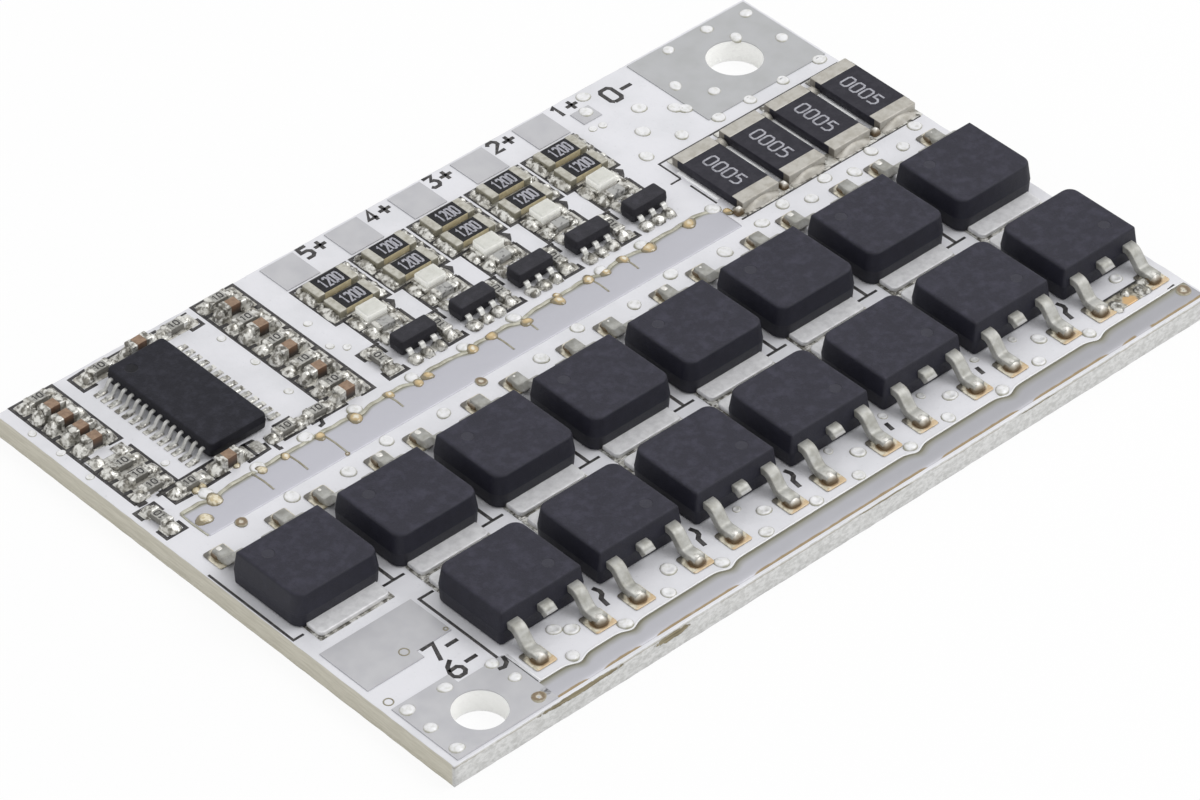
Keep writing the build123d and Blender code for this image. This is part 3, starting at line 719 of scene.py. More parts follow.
def turned(profile, count):
    """A profile of (radius, height) rows turned about the upright axis, its last row a point: at
    angle t a row stands at radius times cos t and sin t, and the middle closes on a fan."""
    radius, height = np.array(profile, float).T
    angle = np.linspace(0, 2 * np.pi, count, endpoint=False)
    rings = np.stack(
        [
            radius[:-1, None] * np.cos(angle),
            radius[:-1, None] * np.sin(angle),
            height[:-1, None] + 0 * angle,
        ],
        axis=2,
    )
    points = np.vstack([rings.reshape(-1, 3), [[0, 0, height[-1]]]])
    faces = tube_faces(len(radius) - 1, count)
    last = (len(radius) - 2) * count
    fan = [[last + n, last + (n + 1) % count, len(points) - 1] for n in range(count)]
    return points, faces[:-1] + fan


def copies(shape, places):
    """One shape set down at many places. A place is (x, y, z, turn, scale x, scale y, scale z):
    the shape's points are scaled, turned about the upright axis and moved there."""
    points, faces = shape
    places = np.array(places, float)
    sized = points[None] * places[:, None, 4:7]
    cosine, sine = np.cos(places[:, 3])[:, None], np.sin(places[:, 3])[:, None]
    x = sized[..., 0] * cosine - sized[..., 1] * sine
    y = sized[..., 0] * sine + sized[..., 1] * cosine
    moved = np.stack([x, y, sized[..., 2]], axis=2) + places[:, None, :3]
    step = np.arange(len(places)) * len(points)
    every = [[corner + first for corner in face] for first in step.tolist() for face in faces]
    return moved.reshape(-1, 3), every


def uneven(spots, z, spread, turn_spread=0.0, size=1.0):
    """Places for copies: each spot at height z, turned at random by up to `turn_spread`, with
    scales of `size` that vary at random by `spread`."""
    count = len(spots)
    places = np.full((count, 7), size)
    places[:, :2] = np.array(spots, float)[:, :2]
    places[:, 2] = z
    places[:, 3] = noise_source.uniform(-1, 1, count) * turn_spread
    places[:, 4:7] *= 1 + noise_source.uniform(-spread, spread, (count, 3))
    return places


def lobed(shape, depth):
    """The shape with its outline drawn into soft lobes: at angle t the radius is multiplied by
    1 + depth * (sin(2 t) + 0.7 * sin(3 t + 1))."""
    points = shape[0].copy()
    angle = np.arctan2(points[:, 1], points[:, 0])
    points[:, :2] *= (1 + depth * (np.sin(2 * angle) + 0.7 * np.sin(3 * angle + 1)))[:, None]
    return points, shape[1]


plug_profile = [
    (0.5, -0.02), (0.47, 0.04), (0.4, 0.09), (0.31, 0.1), (0.2, 0.05), (0.1, 0.03), (0, 0.025),
]
dome_profile = [(0.5, -0.02), (0.48, 0.05), (0.4, 0.12), (0.27, 0.17), (0.13, 0.19), (0, 0.195)]
plug_shape, dome_shape = turned(plug_profile, 14), turned(dome_profile, 14)
blister_shape, ring_shape = lobed(dome_shape, 0.12), lobed(plug_shape, 0.06)
plug_shape, dome_shape = lobed(plug_shape, 0.04), lobed(dome_shape, 0.05)
plug_places = np.vstack(
    [uneven(via_rows, thickness, 0.12, 3.0), uneven(small_vias, thickness, 0.12, 3.0, 0.6)]
)
for name, shape, places in (
    ("plugged_holes", plug_shape, plug_places),
    ("mask_domes", dome_shape, uneven(edge_domes, thickness, 0.12, 3.0, 0.95)),
    ("pad_dots", dome_shape, uneven(pad_dots, thickness + 0.02, 0.15, 3.0, 0.95)),
):
    plug = Finish(name, IOR=1.5, Coat_Weight=0.4, Coat_Roughness=0.1)
    plug_x, plug_y = plug.own_place()
    plug_radius = distance(plug_x, plug_y, 0.0, 0.0)
    plug_cloud = plug.noise(0.3, 2.0)
    white = plug.mix(plug_cloud.rise(0.4, 0.75), tone(234, 234, 236), tone(212, 212, 208))
    # The rim of each plug and dome is painted darker olive: painted shade where it meets the board,
    # mixed with olive flux.
    rim_shade_and_flux = plug_radius.rise(0.37, 0.49) * (0.4 + plug_cloud)
    plug_tone = plug.mix(rim_shade_and_flux, white, tone(158, 156, 138))
    clouded(plug, plug_tone, plug_cloud, roughness=0.25, swing=0.15, depth=0.02)
    made(name, copies(shape, places), plug, "solder_mask", local=shape[0])

# Flux on the strips: rosin that boiled out of the holes along the middle strip and set as gold and
# olive blisters, drips and thin rings. On both strips it left burnt brown rings where it scorched.
blisters = [  # x, y and size, as in the burnt rings
    (3.05, 25.1, 1.15), (4.6, 26.05, 1.15), (10.1, 26.2, 0.72), (12.75, 26.15, 0.76),
    (15.35, 26.05, 1.1), (18.2, 26.3, 0.68), (21.0, 26.05, 0.86), (20.2, 25.95, 0.8),
    (24.65, 26.15, 0.85), (26.3, 26.25, 0.9), (28.7, 25.8, 0.82), (31.45, 26.0, 0.95),
    (31.75, 26.45, 0.6), (34.15, 26.3, 0.85), (37.0, 26.3, 0.8), (38.95, 26.05, 1.0),
    (42.35, 26.1, 1.0), (44.9, 25.4, 0.7), (8.3, 26.2, 0.75), (35.35, 26.1, 0.8),
    (4.35, 27.42, 0.6), (4.85, 27.45, 0.55), (7.5, 27.55, 0.55),
]
burnt = [
    (7.2, 1.0, 1.0), (59.85, 1.33, 1.12), (4.5, 23.5, 0.85), (23.05, 23.55, 0.8),
    (12.95, 23.95, 0.35),
]
drips = [  # x, and the y where the drip ends
    (7.72, 24.4), (10.32, 24.4), (13.0, 24.0), (18.12, 24.9), (26.45, 24.4), (28.72, 24.8),
    (34.3, 24.6), (37.1, 25.0),
]
thin_rings = [  # x, y, radius and the height of what it lies on
    (4.1, 8.85, 0.3, strip_top), (0.8, 6.4, 0.29, thickness), (7.1, 8.72, 0.13, strip_top),
]

gold = Finish("gold_flux", IOR=1.52, Coat_Weight=1.0, Coat_Roughness=0.06)
gold_x, gold_y = gold.own_place()
gold_cloud = gold.noise(0.3, 3.0, 0.6)
gold_drift = gold.noise(2.6, 1.0)
gold_radius = distance(gold_x, gold_y, 0.05, 0.08) + (gold_cloud - 0.5) * 0.35
gold_body = gold.mix(gold_drift.rise(0.44, 0.56), tone(232, 228, 212), tone(214, 188, 136))
# Outside a small middle each blister turns darker gold; the paler middle is partly a painted
# highlight on its top, partly the rosin's own colour.
gold_body = gold.mix(gold_radius.rise(0.06, 0.24), gold_body, tone(190, 164, 114))
gold_west = 1 - gold.axes(gold.place())[0].rise(-0.0225, -0.0195)
gold_pale = gold.mix(gold_cloud.rise(0.4, 0.6), tone(232, 227, 206), tone(196, 182, 146))
gold_body = gold.mix(gold_west * 0.75, gold_body, gold_pale)
gold_tone = gold.mix(gold_radius.rise(0.25, 0.42), gold_body, tone(124, 112, 82))
clouded(gold, gold_tone, gold_cloud, roughness=0.12, swing=0.25, depth=0.05)
blister_places = uneven(blisters, thickness + 0.03, 0.1, 3.0)
blister_places[:, 4:7] *= np.array(blisters)[:, 2:]
gold_blisters = copies(blister_shape, blister_places)
made("gold_blisters", gold_blisters, gold, "capacitor_ceramic", local=blister_shape[0])

scorch = Finish("burnt_rings", IOR=1.52, Coat_Weight=0.3, Coat_Roughness=0.15)
scorch_x, scorch_y = scorch.own_place()
scorch_cloud = scorch.noise(0.25, 3.0, 0.6)
scorch_radius = distance(scorch_x, scorch_y, 0.0, 0.0) + (scorch_cloud - 0.5) * 0.35
scorch_body = scorch.mix(scorch_radius.rise(0.12, 0.24), tone(206, 200, 184), tone(124, 106, 80))
scorch_tone = scorch.mix(scorch_radius.rise(0.34, 0.48), scorch_body, tone(166, 160, 140))
clouded(scorch, scorch_tone, scorch_cloud, roughness=0.25, swing=0.3, depth=0.03)
burnt_places = uneven(burnt, strip_top - 0.03, 0.06, 3.0)
burnt_places[:, 4:7] *= np.array(burnt)[:, 2:]
burnt_rings = copies(ring_shape, burnt_places)
made("burnt_rings", burnt_rings, scorch, "capacitor_ceramic", local=ring_shape[0])

resin = Finish("olive_flux", IOR=1.52, Coat_Weight=0.5, Coat_Roughness=0.1, Alpha=0.8)
resin_cloud = resin.noise(0.5, 3.0, 0.6)
resin_tone = resin.mix(resin_cloud.rise(0.35, 0.7), tone(170, 165, 146), tone(148, 140, 114))
clouded(resin, resin_tone, resin_cloud, roughness=0.25, swing=0.3, depth=0.02)
seams = []
drip_start = 26.3
for x, end in drips:
    down = [(x - 0.05, drip_start), (x + 0.03, drip_start - (drip_start - end) * 0.5), (x, end)]
    seams.append(line(*down, width=0.15, height=0.015, base=strip_top))
for x, y, radius, base in thin_rings:
    seams.append(line(*ring(x, y, radius, 14).tolist(), (x + radius, y), width=0.09, base=base))
made("flux_drips", gathered(seams), resin, "capacitor_ceramic")

edge_flux = Finish("edge_flux", IOR=1.52, Coat_Weight=0.4, Coat_Roughness=0.12)
edge_cloud = edge_flux.noise(0.6, 3.0, 0.6)
edge_tone = edge_flux.mix(edge_cloud.rise(0.35, 0.65), tone(194, 192, 176), tone(160, 157, 140))
clouded(edge_flux, edge_tone, edge_cloud, roughness=0.25, swing=0.3, depth=0.03)
x = np.linspace(2.4, 44.7, 220)
ripple = 0.035 * np.sin(2.1 * x) + 0.025 * np.sin(5.3 * x)
band_path = np.stack([x, mask_edge(x, 26.42) + ripple], axis=1)
bands = [
    line(*band_path.tolist(), width=0.28, height=0.06),
    line((2.36, 26.4), (2.33, 25.2), (2.38, 23.9), width=0.14, height=0.05),
]
made("flux_bands", gathered(bands), edge_flux, "capacitor_ceramic")

# Mask lip: the white mask was printed as a liquid and drew itself up where it ends, so it's
# thickest in a low bright lip beside the front strip.
lip_start = 8.24
lip = np.linspace(lip_start, 60.25, 260)
lip_path = np.column_stack([lip, mask_edge(lip, 2.0)]).tolist()
lip_white = Finish("mask_lip", IOR=1.5, Coat_Weight=0.3)
lip_cloud = lip_white.noise(0.4, 2.0)
lip_tone = lip_white.mix(lip_cloud, tone(246, 246, 248), tone(230, 231, 234))
clouded(lip_white, lip_tone, lip_cloud, roughness=0.3, swing=0.2, depth=0.02)
mask_lip = line((lip_start, 4.9), *lip_path, width=0.13, height=0.03)
made("mask_lip", mask_lip, lip_white, "solder_mask")

# Power transistors: fifteen black mouldings, each cast round a tinned copper plate with two
# formed outer leads and the cut stub of the middle one. The upper half draws in by 9 degrees.
pad_top = 1.67
body_width = 6.5
body_length = 5.85
body_height = 2.3
parting = 1.0
plate_thickness = 0.3
upper_draw = math.tan(math.radians(9))
back_row_y = 17.005
front_row_y = 8.395


def drawn_block(levels, length, width, radii, steps):
    """A rounded rectangle at each level, a level being (height, inset). A corner's points stand at
    its centre plus its radius times cos and sin over a quarter turn; the inset moves the sides in
    and takes as much off the radius."""
    height, inset = np.array(levels, float).T
    radius = np.maximum(np.array(radii)[None, :] - inset[:, None], 0.02)
    sides = np.array([[1, 1], [-1, 1], [-1, -1], [1, -1]])
    quarter = np.arange(4)[:, None] * np.pi / 2 + np.linspace(0, np.pi / 2, steps + 1)[None, :]
    centre_x = sides[:, 0] * (length / 2 - inset[:, None] - radius)
    centre_y = sides[:, 1] * (width / 2 - inset[:, None] - radius)
    x = centre_x[..., None] + radius[..., None] * np.cos(quarter)
    y = centre_y[..., None] + radius[..., None] * np.sin(quarter)
    z = height[:, None, None] + 0 * x
    points = np.stack([x, y, z], axis=3).reshape(-1, 3)
    return points, tube_faces(len(levels), 4 * (steps + 1))


def edge_round(top, draw, inset, radius):
    """The levels of a top edge rounded over 90 degrees: at angle t the side has come in by
    radius * (1 - cos t) and stands radius * (1 - sin t) below the top."""
    start = inset - draw * radius
    levels = [
        (top - radius * (1 - math.sin(turn)), start + radius * (1 - math.cos(turn)))
        for turn in np.linspace(0, np.pi / 2, 6)
    ]
    return levels + [(top, levels[-1][1] + 0.08)]


def compound(name, gloss, top_tone, side_tone, mark_x, mark_y, mark_radius, mark_tone):
    """Black moulding compound: fine sparks and faint patches, with the sides painted darker than
    the top as painted shade, and one round ejector mark or dimple at a place on the part."""
    finish = Finish(name, IOR=1.5, Specular_IOR_Level=gloss)
    own_x, own_y = finish.own_place()
    top = finish.upward().rise(0.55, 0.95)
    spark = finish.noise(0.07, 3.0, 0.65)
    patch = finish.noise(0.7, 4.0, 0.65)
    mark = (1 - distance(own_x, own_y, mark_x, mark_y).rise(mark_radius * 0.8, mark_radius)) * top
    lit = [value + 22 for value in top_tone]
    hazy = [value + 7 for value in side_tone]
    top_colour = finish.mix(patch.rise(0.4, 0.75), tone(*top_tone), tone(*lit))
    top_colour = finish.mix(spark.rise(0.5, 0.7) * 0.6, top_colour, tone(*lit))
    # Painted shade: the sides take the darker side tone.
    shaded_side_colour = finish.mix(patch.rise(0.35, 0.7), tone(*side_tone), tone(*hazy))
    body_colour = finish.mix(top, shaded_side_colour, top_colour)
    finish.feed(
        Base_Color=finish.mix(mark * 0.6, body_colour, tone(*mark_tone)),
        Roughness=0.5 + spark * 0.15 + top * 0.05,
        Normal=finish.relief(
            spark, 0.02, finish.relief(mark * -1, 0.05, finish.relief(patch, 0.015))
        ),
    )
    return finish


moulding = compound(
    "moulding_compound", gloss=0.42, top_tone=(24, 23, 38), side_tone=(18, 18, 32),
    mark_x=1.8, mark_y=-1.35, mark_radius=0.42, mark_tone=(50, 50, 60),
)
body_levels = [
    (0.03, 0.18), (0.0, 0.1), (0.06, 0.06),
    (parting - 0.04, 0.012), (parting, 0.0), (parting + 0.04, 0.012),
]
body_levels += edge_round(body_height, upper_draw, (body_height - parting) * upper_draw, 0.2)
body_shape = drawn_block(body_levels, body_width, body_length, [0.9, 0.9, 0.3, 0.3], 6)


def matte_tin(name, light_tone, dark_tone, tab_start):
    """Plated copper, dull and lightly clouded. On a plate that starts at `tab_start` millimetres
    behind the part's middle it is painted paler and less metallic, painted light against the
    moulding's shade there; faces that turn to the front are painted lighter, painted light, and
    faces that turn down are painted darker, painted shade."""
    finish = Finish(name, IOR=1.5)
    # Painted light: the plate is paler and less metallic, lifting the shade the moulding casts on
    # it.
    tab = finish.own_place()[1].rise(tab_start - 0.1, tab_start)
    cloud = finish.noise(0.5, 3.0, 0.55)
    grain = finish.noise(0.05, 2.0, 0.6, finish.stretched(1.0, 0.25, 1.0))
    bare = finish.mix(cloud.rise(0.3, 0.75), tone(*light_tone), tone(*dark_tone))
    pale = finish.mix(cloud.rise(0.3, 0.75), tone(226, 226, 228), tone(206, 206, 208))
    bare = finish.mix(tab, bare, pale)
    # Painted light: faces that turn to the front are lighter.
    front = (finish.facing()[1] * -1).rise(0.8, 0.97)
    bare = finish.mix(front * 0.8, bare, tone(216, 216, 215))
    # Painted shade: faces that turn down are darker.
    underside_shade = 1 - finish.upward().rise(-0.9, -0.2)
    finish.feed(
        Base_Color=finish.mix(underside_shade * 0.7, bare, tone(140, 138, 130)),
        Metallic=0.45 - tab * 0.25,
        Roughness=0.4 + cloud * 0.2,
        Normal=finish.relief(grain, 0.004, finish.relief(cloud, 0.02)),
    )
    return finish


lead = matte_tin("matte_tin", (178, 178, 174), (152, 151, 144), body_length / 2)


def rounded_section(width, height, edge):
    """A rectangle of width by height about the middle, its four corners cut by two short steps,
    with a further point a step into each side, which keeps the sides flat."""
    x, y = width / 2, height / 2
    cut = edge * 0.3
    corner = np.array(
        [(x, y - 2 * edge), (x, y - edge), (x - cut, y - cut), (x - edge, y), (x - 2 * edge, y)]
    )
    quarter = [corner, (corner * (-1, 1))[::-1], corner * (-1, -1), (corner * (1, -1))[::-1]]
    return np.concatenate(quarter)


def bent(corners, radius, steps=4):
    """A path with its corners eased: at each, corner + radius * ((1 - s)**2 * back + s**2 * ahead)
    for s from 0 to 1, where back and ahead are the unit runs away from it."""
    corners = np.array(corners, float)
    run = np.diff(corners, axis=0)
    run = run / np.linalg.norm(run, axis=1, keepdims=True)
    share = np.linspace(0, 1, steps)[None, :, None]
    middle = corners[1:-1, None]
    eased = middle + radius * (-((1 - share) ** 2) * run[:-1, None] + share**2 * run[1:, None])
    return np.vstack([corners[:1], eased.reshape(-1, 3), corners[-1:]])


lead_offset = 2.285
lead_level = 1.25
foot_level = 0.25
front_face = -body_length / 2
lead_corners = [
    (0, front_face + 0.7, lead_level),
    (0, front_face - 0.42, lead_level),
    (0, front_face - 1.28, foot_level),
    (0, front_face - 2.4, foot_level),
]
one_lead = carried(bent(lead_corners, 0.3, 5), rounded_section(0.84, 0.5, 0.06), (1, 0, 0))
stub_corners = [
    (0, front_face + 0.5, lead_level),
    (0, front_face - 0.28, lead_level),
    (0, front_face - 0.62, lead_level - 0.25),
]
stub = carried(np.array(stub_corners), rounded_section(0.88, 0.5, 0.08), (1, 0, 0))
plate_levels = [(0.02, 0.06), (0.0, 0.02), (0.03, 0.0)]
plate_levels += edge_round(plate_thickness, 0.0, 0.0, 0.08)
plate_width, plate_length = 5.2, 5.4
plate = drawn_block(plate_levels, plate_width, plate_length, [0.35, 0.35, 0.1, 0.1], 4)
plate_y = body_length / 2 + 1.2 - plate_length / 2
frame_shape = gathered(
    [
        copies(one_lead, [(-lead_offset, 0, 0, 0, 1, 1, 1), (lead_offset, 0, 0, 0, 1, 1, 1)]),
        stub,
        copies(plate, [(0, plate_y, 0, 0, 1, 1, 1)]),
    ]
)
transistor_places = [(x, back_row_y, math.pi) for x in transistor_columns]
transistor_places += [(x, front_row_y, 0.0) for x in transistor_columns[1:]]
for number, (x, y, turn) in enumerate(transistor_places, start=1):
    place = [(x, y, pad_top, turn, 1, 1, 1)]
    made(
        f"transistor_moulding_{number}", copies(body_shape, place), moulding,
        "moulding_compound", f"transistor_body_{number}", local=body_shape[0],
    )
    made(
        f"transistor_leads_{number}", copies(frame_shape, place), lead,
        "tinned_lead", f"transistor_frame_{number}", local=frame_shape[0],
    )

# Controller: a thin flat package of the same compound with 28 fine formed pins, and a round
# dimple on top at its first pin.
controller_x, controller_y = 8.85, 33.65
controller_finish = compound(
    "controller_compound", gloss=0.26, top_tone=(18, 18, 28), side_tone=(18, 18, 26),
    mark_x=-1.1, mark_y=3.75, mark_radius=0.45, mark_tone=(4, 4, 6),
)
controller_levels = [(0.1, 0.1), (0.12, 0.07), (0.57, 0.01), (0.6, 0.0), (0.63, 0.01)]
controller_levels += edge_round(1.1, 0.12, 0.07, 0.12)
controller_shape = drawn_block(controller_levels, 4.4, 9.7, [0.34] * 4, 3)
controller = copies(controller_shape, [(controller_x, controller_y, pad_top, 0, 1, 1, 1)])
made(
    "controller_moulding", controller, controller_finish,
    "moulding_compound", "controller_body", local=controller_shape[0],
)

pin_pitch = 0.65
pins_to_a_side = 14
pin_corners = [(0, 0.25, 0.6), (0, -0.2, 0.6), (0, -0.52, 0.08), (0, -1.0, 0.08)]
pin_shape = carried(bent(pin_corners, 0.12, 3), rounded_section(0.24, 0.14, 0.03), (1, 0, 0))
pin_places = []
for side in (-1, 1):
    for number in range(pins_to_a_side):
        y = controller_y + (number - (pins_to_a_side - 1) / 2) * pin_pitch
        pin_places.append((controller_x + side * 2.2, y, pad_top, side * math.pi / 2, 1, 1, 1))
no_tab = 5.0  # a start so far back that no part reaches it
pin_tin = matte_tin("pin_tin", (196, 196, 194), (168, 168, 164), no_tab)
made(
    "controller_formed_pins", copies(pin_shape, pin_places), pin_tin,
    "tinned_lead", "controller_pins", local=pin_shape[0],
)

# Small resistors and capacitors: ceramic blocks 1.6 x 0.8 mm with tinned ends wrapped round them.
# The resistors are low, with a worn grey glaze and a small number; the capacitors are taller and
# bare brown ceramic.
left_column_x, right_column_x, channel_middle = 2.55, 16.35, 2.875
lower_row_y, upper_row_y, switch_y = 27.915, 39.505, 28.95
flat_resistors = [(left_column_x, column_rows[n]) for n in (0, 6, 7, 8)]
flat_resistors += [(right_column_x, row) for row in column_rows[0::2]]
flat_resistors += [(x, lower_row_y) for x in (4.3, 11.6, 13.9)]
flat_resistors += [(x, upper_row_y) for x in (6.95, 12.75)]
lamp_resistors = [(x + channel_middle, 31.255) for x in channels]
turned_resistors = [(x + 0.475, switch_y) for x in channels] + [(1.15, lower_row_y - 1.15)]
capacitors = [(left_column_x, row) for row in column_rows[1:5]]
capacitors += [(right_column_x, row) for row in column_rows[1::2]]
capacitors += [(7.25, lower_row_y), (9.95, upper_row_y)]


def soft_block(length, width, height, edge):
    """A block with all its edges rounded: a drawn block whose levels step round the edges."""
    levels = [
        (0.0, edge), (edge * 0.3, edge * 0.3), (edge, 0.0), (height - edge, 0.0),
        (height - edge * 0.3, edge * 0.3), (height, edge), (height, edge + 0.03),
    ]
    return drawn_block(levels, length, width, [edge] * 4, 2)


belly = 0.025  # how far a chip's ceramic stands above the soles of its ends


def chips(spots, length, width, height, terminal, quarter_turns, crooked=0.035):
    """Ceramics and end pairs of chip parts at many spots, each a little crooked as the solder
    pulled it. The two ends stand at plus and minus (length - terminal) / 2 along the part."""
    places = uneven(spots, pad_top, 0.0)
    places[:, 3] = np.array(quarter_turns) * np.pi / 2
    places[:, 3] += noise_source.uniform(-crooked, crooked, len(spots))
    places[:, :2] += noise_source.uniform(-0.04, 0.04, (len(spots), 2))
    middle = soft_block(length - terminal, width - 0.08, height - 0.05, 0.03)
    middle = (middle[0] + (0, 0, belly), middle[1])
    end = soft_block(terminal, width, height, 0.07)
    reach = (length - terminal) / 2
    ends = gathered([(end[0] - (reach, 0, 0), end[1]), (end[0] + (reach, 0, 0), end[1])])
    return copies(middle, places), copies(ends, places), places


resistor_turns = [0] * len(flat_resistors) + [1] * len(turned_resistors)
resistor_middles, resistor_caps, resistor_spots = chips(
    flat_resistors + turned_resistors, 1.6, 0.8, 0.45, 0.34, resistor_turns
)
worn_glaze = Finish("worn_glaze", IOR=1.5)
worn_cloud = worn_glaze.noise(0.2, 3.0, 0.65)
worn_top = worn_glaze.mix(worn_cloud.rise(0.38, 0.62), tone(180, 179, 174), tone(126, 125, 120))
# Painted shade: the sides are darker than the worn top.
worn_and_shaded_tone = worn_glaze.mix(worn_glaze.upward().rise(0.5, 0.9), tone(112, 110, 104), worn_top)
clouded(worn_glaze, worn_and_shaded_tone, worn_cloud, roughness=0.3, swing=0.3, depth=0.03)
made("resistor_ceramics", resistor_middles, worn_glaze, "black_glaze", "small_resistor_bodies")

lamp_resistor_middles, lamp_resistor_caps, lamp_resistor_spots = chips(
    lamp_resistors, 1.6, 0.8, 0.45, 0.34, [0] * 5
)
pale_glaze = Finish("pale_glaze", IOR=1.5)
pale_cloud = pale_glaze.noise(0.35, 3.0, 0.65)
pale_tone = pale_glaze.mix(pale_cloud.rise(0.5, 0.66), tone(168, 168, 166), tone(98, 97, 97))
clouded(pale_glaze, pale_tone, pale_cloud, roughness=0.3, swing=0.3, depth=0.03)
made("lamp_resistor_ceramics", lamp_resistor_middles, pale_glaze, "black_glaze")

dark_figures = []
for x, y, z, turn in resistor_spots[:, :4].tolist():
    step_x = -0.33 * math.cos(turn) + 0.2 * math.sin(turn)
    step_y = -0.33 * math.sin(turn) - 0.2 * math.cos(turn)
    dark_figures += written("10", x + step_x, y + step_y, 0.42, turn, 0.09, pad_top + 0.42)
made("resistor_figures", gathered(dark_figures), ink, "black_glaze")

solder = Finish("bright_solder", Metallic=0.7)
solder_cloud = solder.noise(0.36, 2.5, 0.55)
solder_drift = solder.noise(0.7, 2.0)
solder_tone = solder.mix(solder_cloud.rise(0.42, 0.62), tone(222, 221, 216), tone(108, 105, 98))
solder_tone = solder.mix(solder_drift.rise(0.45, 0.65) * 0.45, solder_tone, tone(166, 163, 154))
clouded(solder, solder_tone, solder_cloud, roughness=0.2, swing=0.35, depth=0.11)
all_resistor_caps = gathered([resistor_caps, lamp_resistor_caps])
made("resistor_wrapped_ends", all_resistor_caps, solder, "tinned_lead", "small_resistor_ends")

capacitor_middles, capacitor_caps, capacitor_spots = chips(
    capacitors, 1.6, 0.8, 0.8, 0.46, [0] * len(capacitors)
)
brown_ceramic = Finish("brown_ceramic", IOR=1.5)
ceramic_cloud = brown_ceramic.noise(0.25, 3.0, 0.6)
ceramic_patch = ceramic_cloud.rise(0.3, 0.7)
ceramic_top = brown_ceramic.mix(ceramic_patch, tone(150, 124, 102), tone(126, 102, 82))
# Painted shade: the sides are darker than the top, and darkest at the bottom.
ceramic_rise = brown_ceramic.axes(brown_ceramic.place())[2].rise(0.0018, 0.0024)
shaded_ceramic_side = brown_ceramic.mix(ceramic_rise, tone(44, 36, 31), tone(104, 78, 61))
ceramic_tone = brown_ceramic.mix(brown_ceramic.upward().rise(0.4, 0.9), shaded_ceramic_side, ceramic_top)
clouded(brown_ceramic, ceramic_tone, ceramic_cloud, roughness=0.42, swing=0.2, depth=0.02)
made(
    "capacitor_ceramics", capacitor_middles, brown_ceramic, "capacitor_ceramic", "capacitor_bodies"
)
made("capacitor_wrapped_ends", capacitor_caps, solder, "tinned_lead", "capacitor_ends")

# Bleed resistors: ten glazed chips, two to a channel, black on top with their value in pale
# figures, with the bare tan ceramic on their sides.
bleed_spots = [(x + channel_middle, y) for x in channels for y in (34.325, 36.305)]
bleed_middles, bleed_caps, bleed_places = chips(
    bleed_spots, 3.2, 1.55, 0.55, 0.58, [0] * 10, 0.012
)
glaze = Finish("black_glaze", IOR=1.5, Specular_IOR_Level=0.2)
glaze_cloud = glaze.noise(0.3, 3.0, 0.6)
glaze_top = glaze.mix(glaze_cloud.rise(0.3, 0.7), tone(16, 16, 20), tone(34, 34, 37))
tan_side = glaze.mix(glaze_cloud.rise(0.3, 0.7), tone(198, 188, 158), tone(180, 168, 136))
glaze_tone = glaze.mix(glaze.upward().rise(0.5, 0.9), tan_side, glaze_top)
clouded(glaze, glaze_tone, glaze_cloud, roughness=0.35, swing=0.2, depth=0.02)
made("bleed_ceramics", bleed_middles, glaze, "black_glaze", "bleed_resistor_bodies")

dull_tin = Finish("dull_terminals", Metallic=0.35)
dull_cloud = dull_tin.noise(0.35, 3.0, 0.6)
dull_tone = dull_tin.mix(dull_cloud.rise(0.35, 0.7), tone(194, 192, 183), tone(168, 165, 153))
# Painted shade: faces that don't turn up are darker.
dull_tone = dull_tin.mix(1 - dull_tin.upward().rise(0.0, 0.8), dull_tone, tone(138, 134, 118))
clouded(dull_tin, dull_tone, dull_cloud, roughness=0.4, swing=0.25, depth=0.04)
made("bleed_wrapped_ends", bleed_caps, dull_tin, "tinned_lead", "bleed_resistor_ends")

pale_ink = Finish("pale_figures")
pale_wear = pale_ink.noise(0.15, 3.0, 0.6)
pale_ink.feed(
    Base_Color=pale_ink.mix(pale_wear.rise(0.42, 0.75), tone(170, 170, 178), tone(110, 110, 120)),
    Roughness=0.5 + pale_wear * 0.2,
)
pale_figures = []
for x, y, z, turn in bleed_places[:, :4].tolist():
    pale_figures += written("1200", x - 0.7, y - 0.42, 0.86, turn, 0.16, pad_top + 0.515, 0.5)

# Current shunts: four wide glazed chips that lie across the board, black all round, on broad
# terminals of tan tin, with their value in pale figures along them.
shunt_spots = [(47.07 + 3.95 * number, 27.93) for number in range(4)]
shunt_length, shunt_terminal = 6.3, 1.0
_, shunt_caps, shunt_places = chips(
    shunt_spots, shunt_length, 3.1, 0.65, shunt_terminal, [1] * 4, 0.006
)
shunt_block = soft_block(shunt_length - shunt_terminal, 3.16, 0.6, 0.05)
shunt_black = Finish("shunt_glaze", IOR=1.5, Specular_IOR_Level=0.22)
shunt_cloud = shunt_black.noise(0.5, 4.0, 0.65)
shunt_tone = shunt_black.mix(shunt_cloud.rise(0.35, 0.7), tone(34, 33, 42), tone(48, 47, 55))
clouded(shunt_black, shunt_tone, shunt_cloud, roughness=0.42, swing=0.2, depth=0.02)
for number, place in enumerate(shunt_places, start=1):
    raised = place.copy()
    raised[2] += belly
    shunt = copies(shunt_block, [raised])
    made(f"shunt_ceramic_{number}", shunt, shunt_black, "black_glaze", f"shunt_body_{number}")
    x, y, turn = place[0], place[1], place[3] - math.pi
    pale_figures += written("0005", x - 0.55, y + 1.52, 1.0, turn, 0.16, pad_top + 0.615, 0.9)

shunt_tin = Finish("tan_terminals", Metallic=0.35)
end_cloud = shunt_tin.noise(0.5, 3.0, 0.6)
end_tone = shunt_tin.mix(end_cloud.rise(0.35, 0.7), tone(188, 185, 178), tone(172, 168, 159))
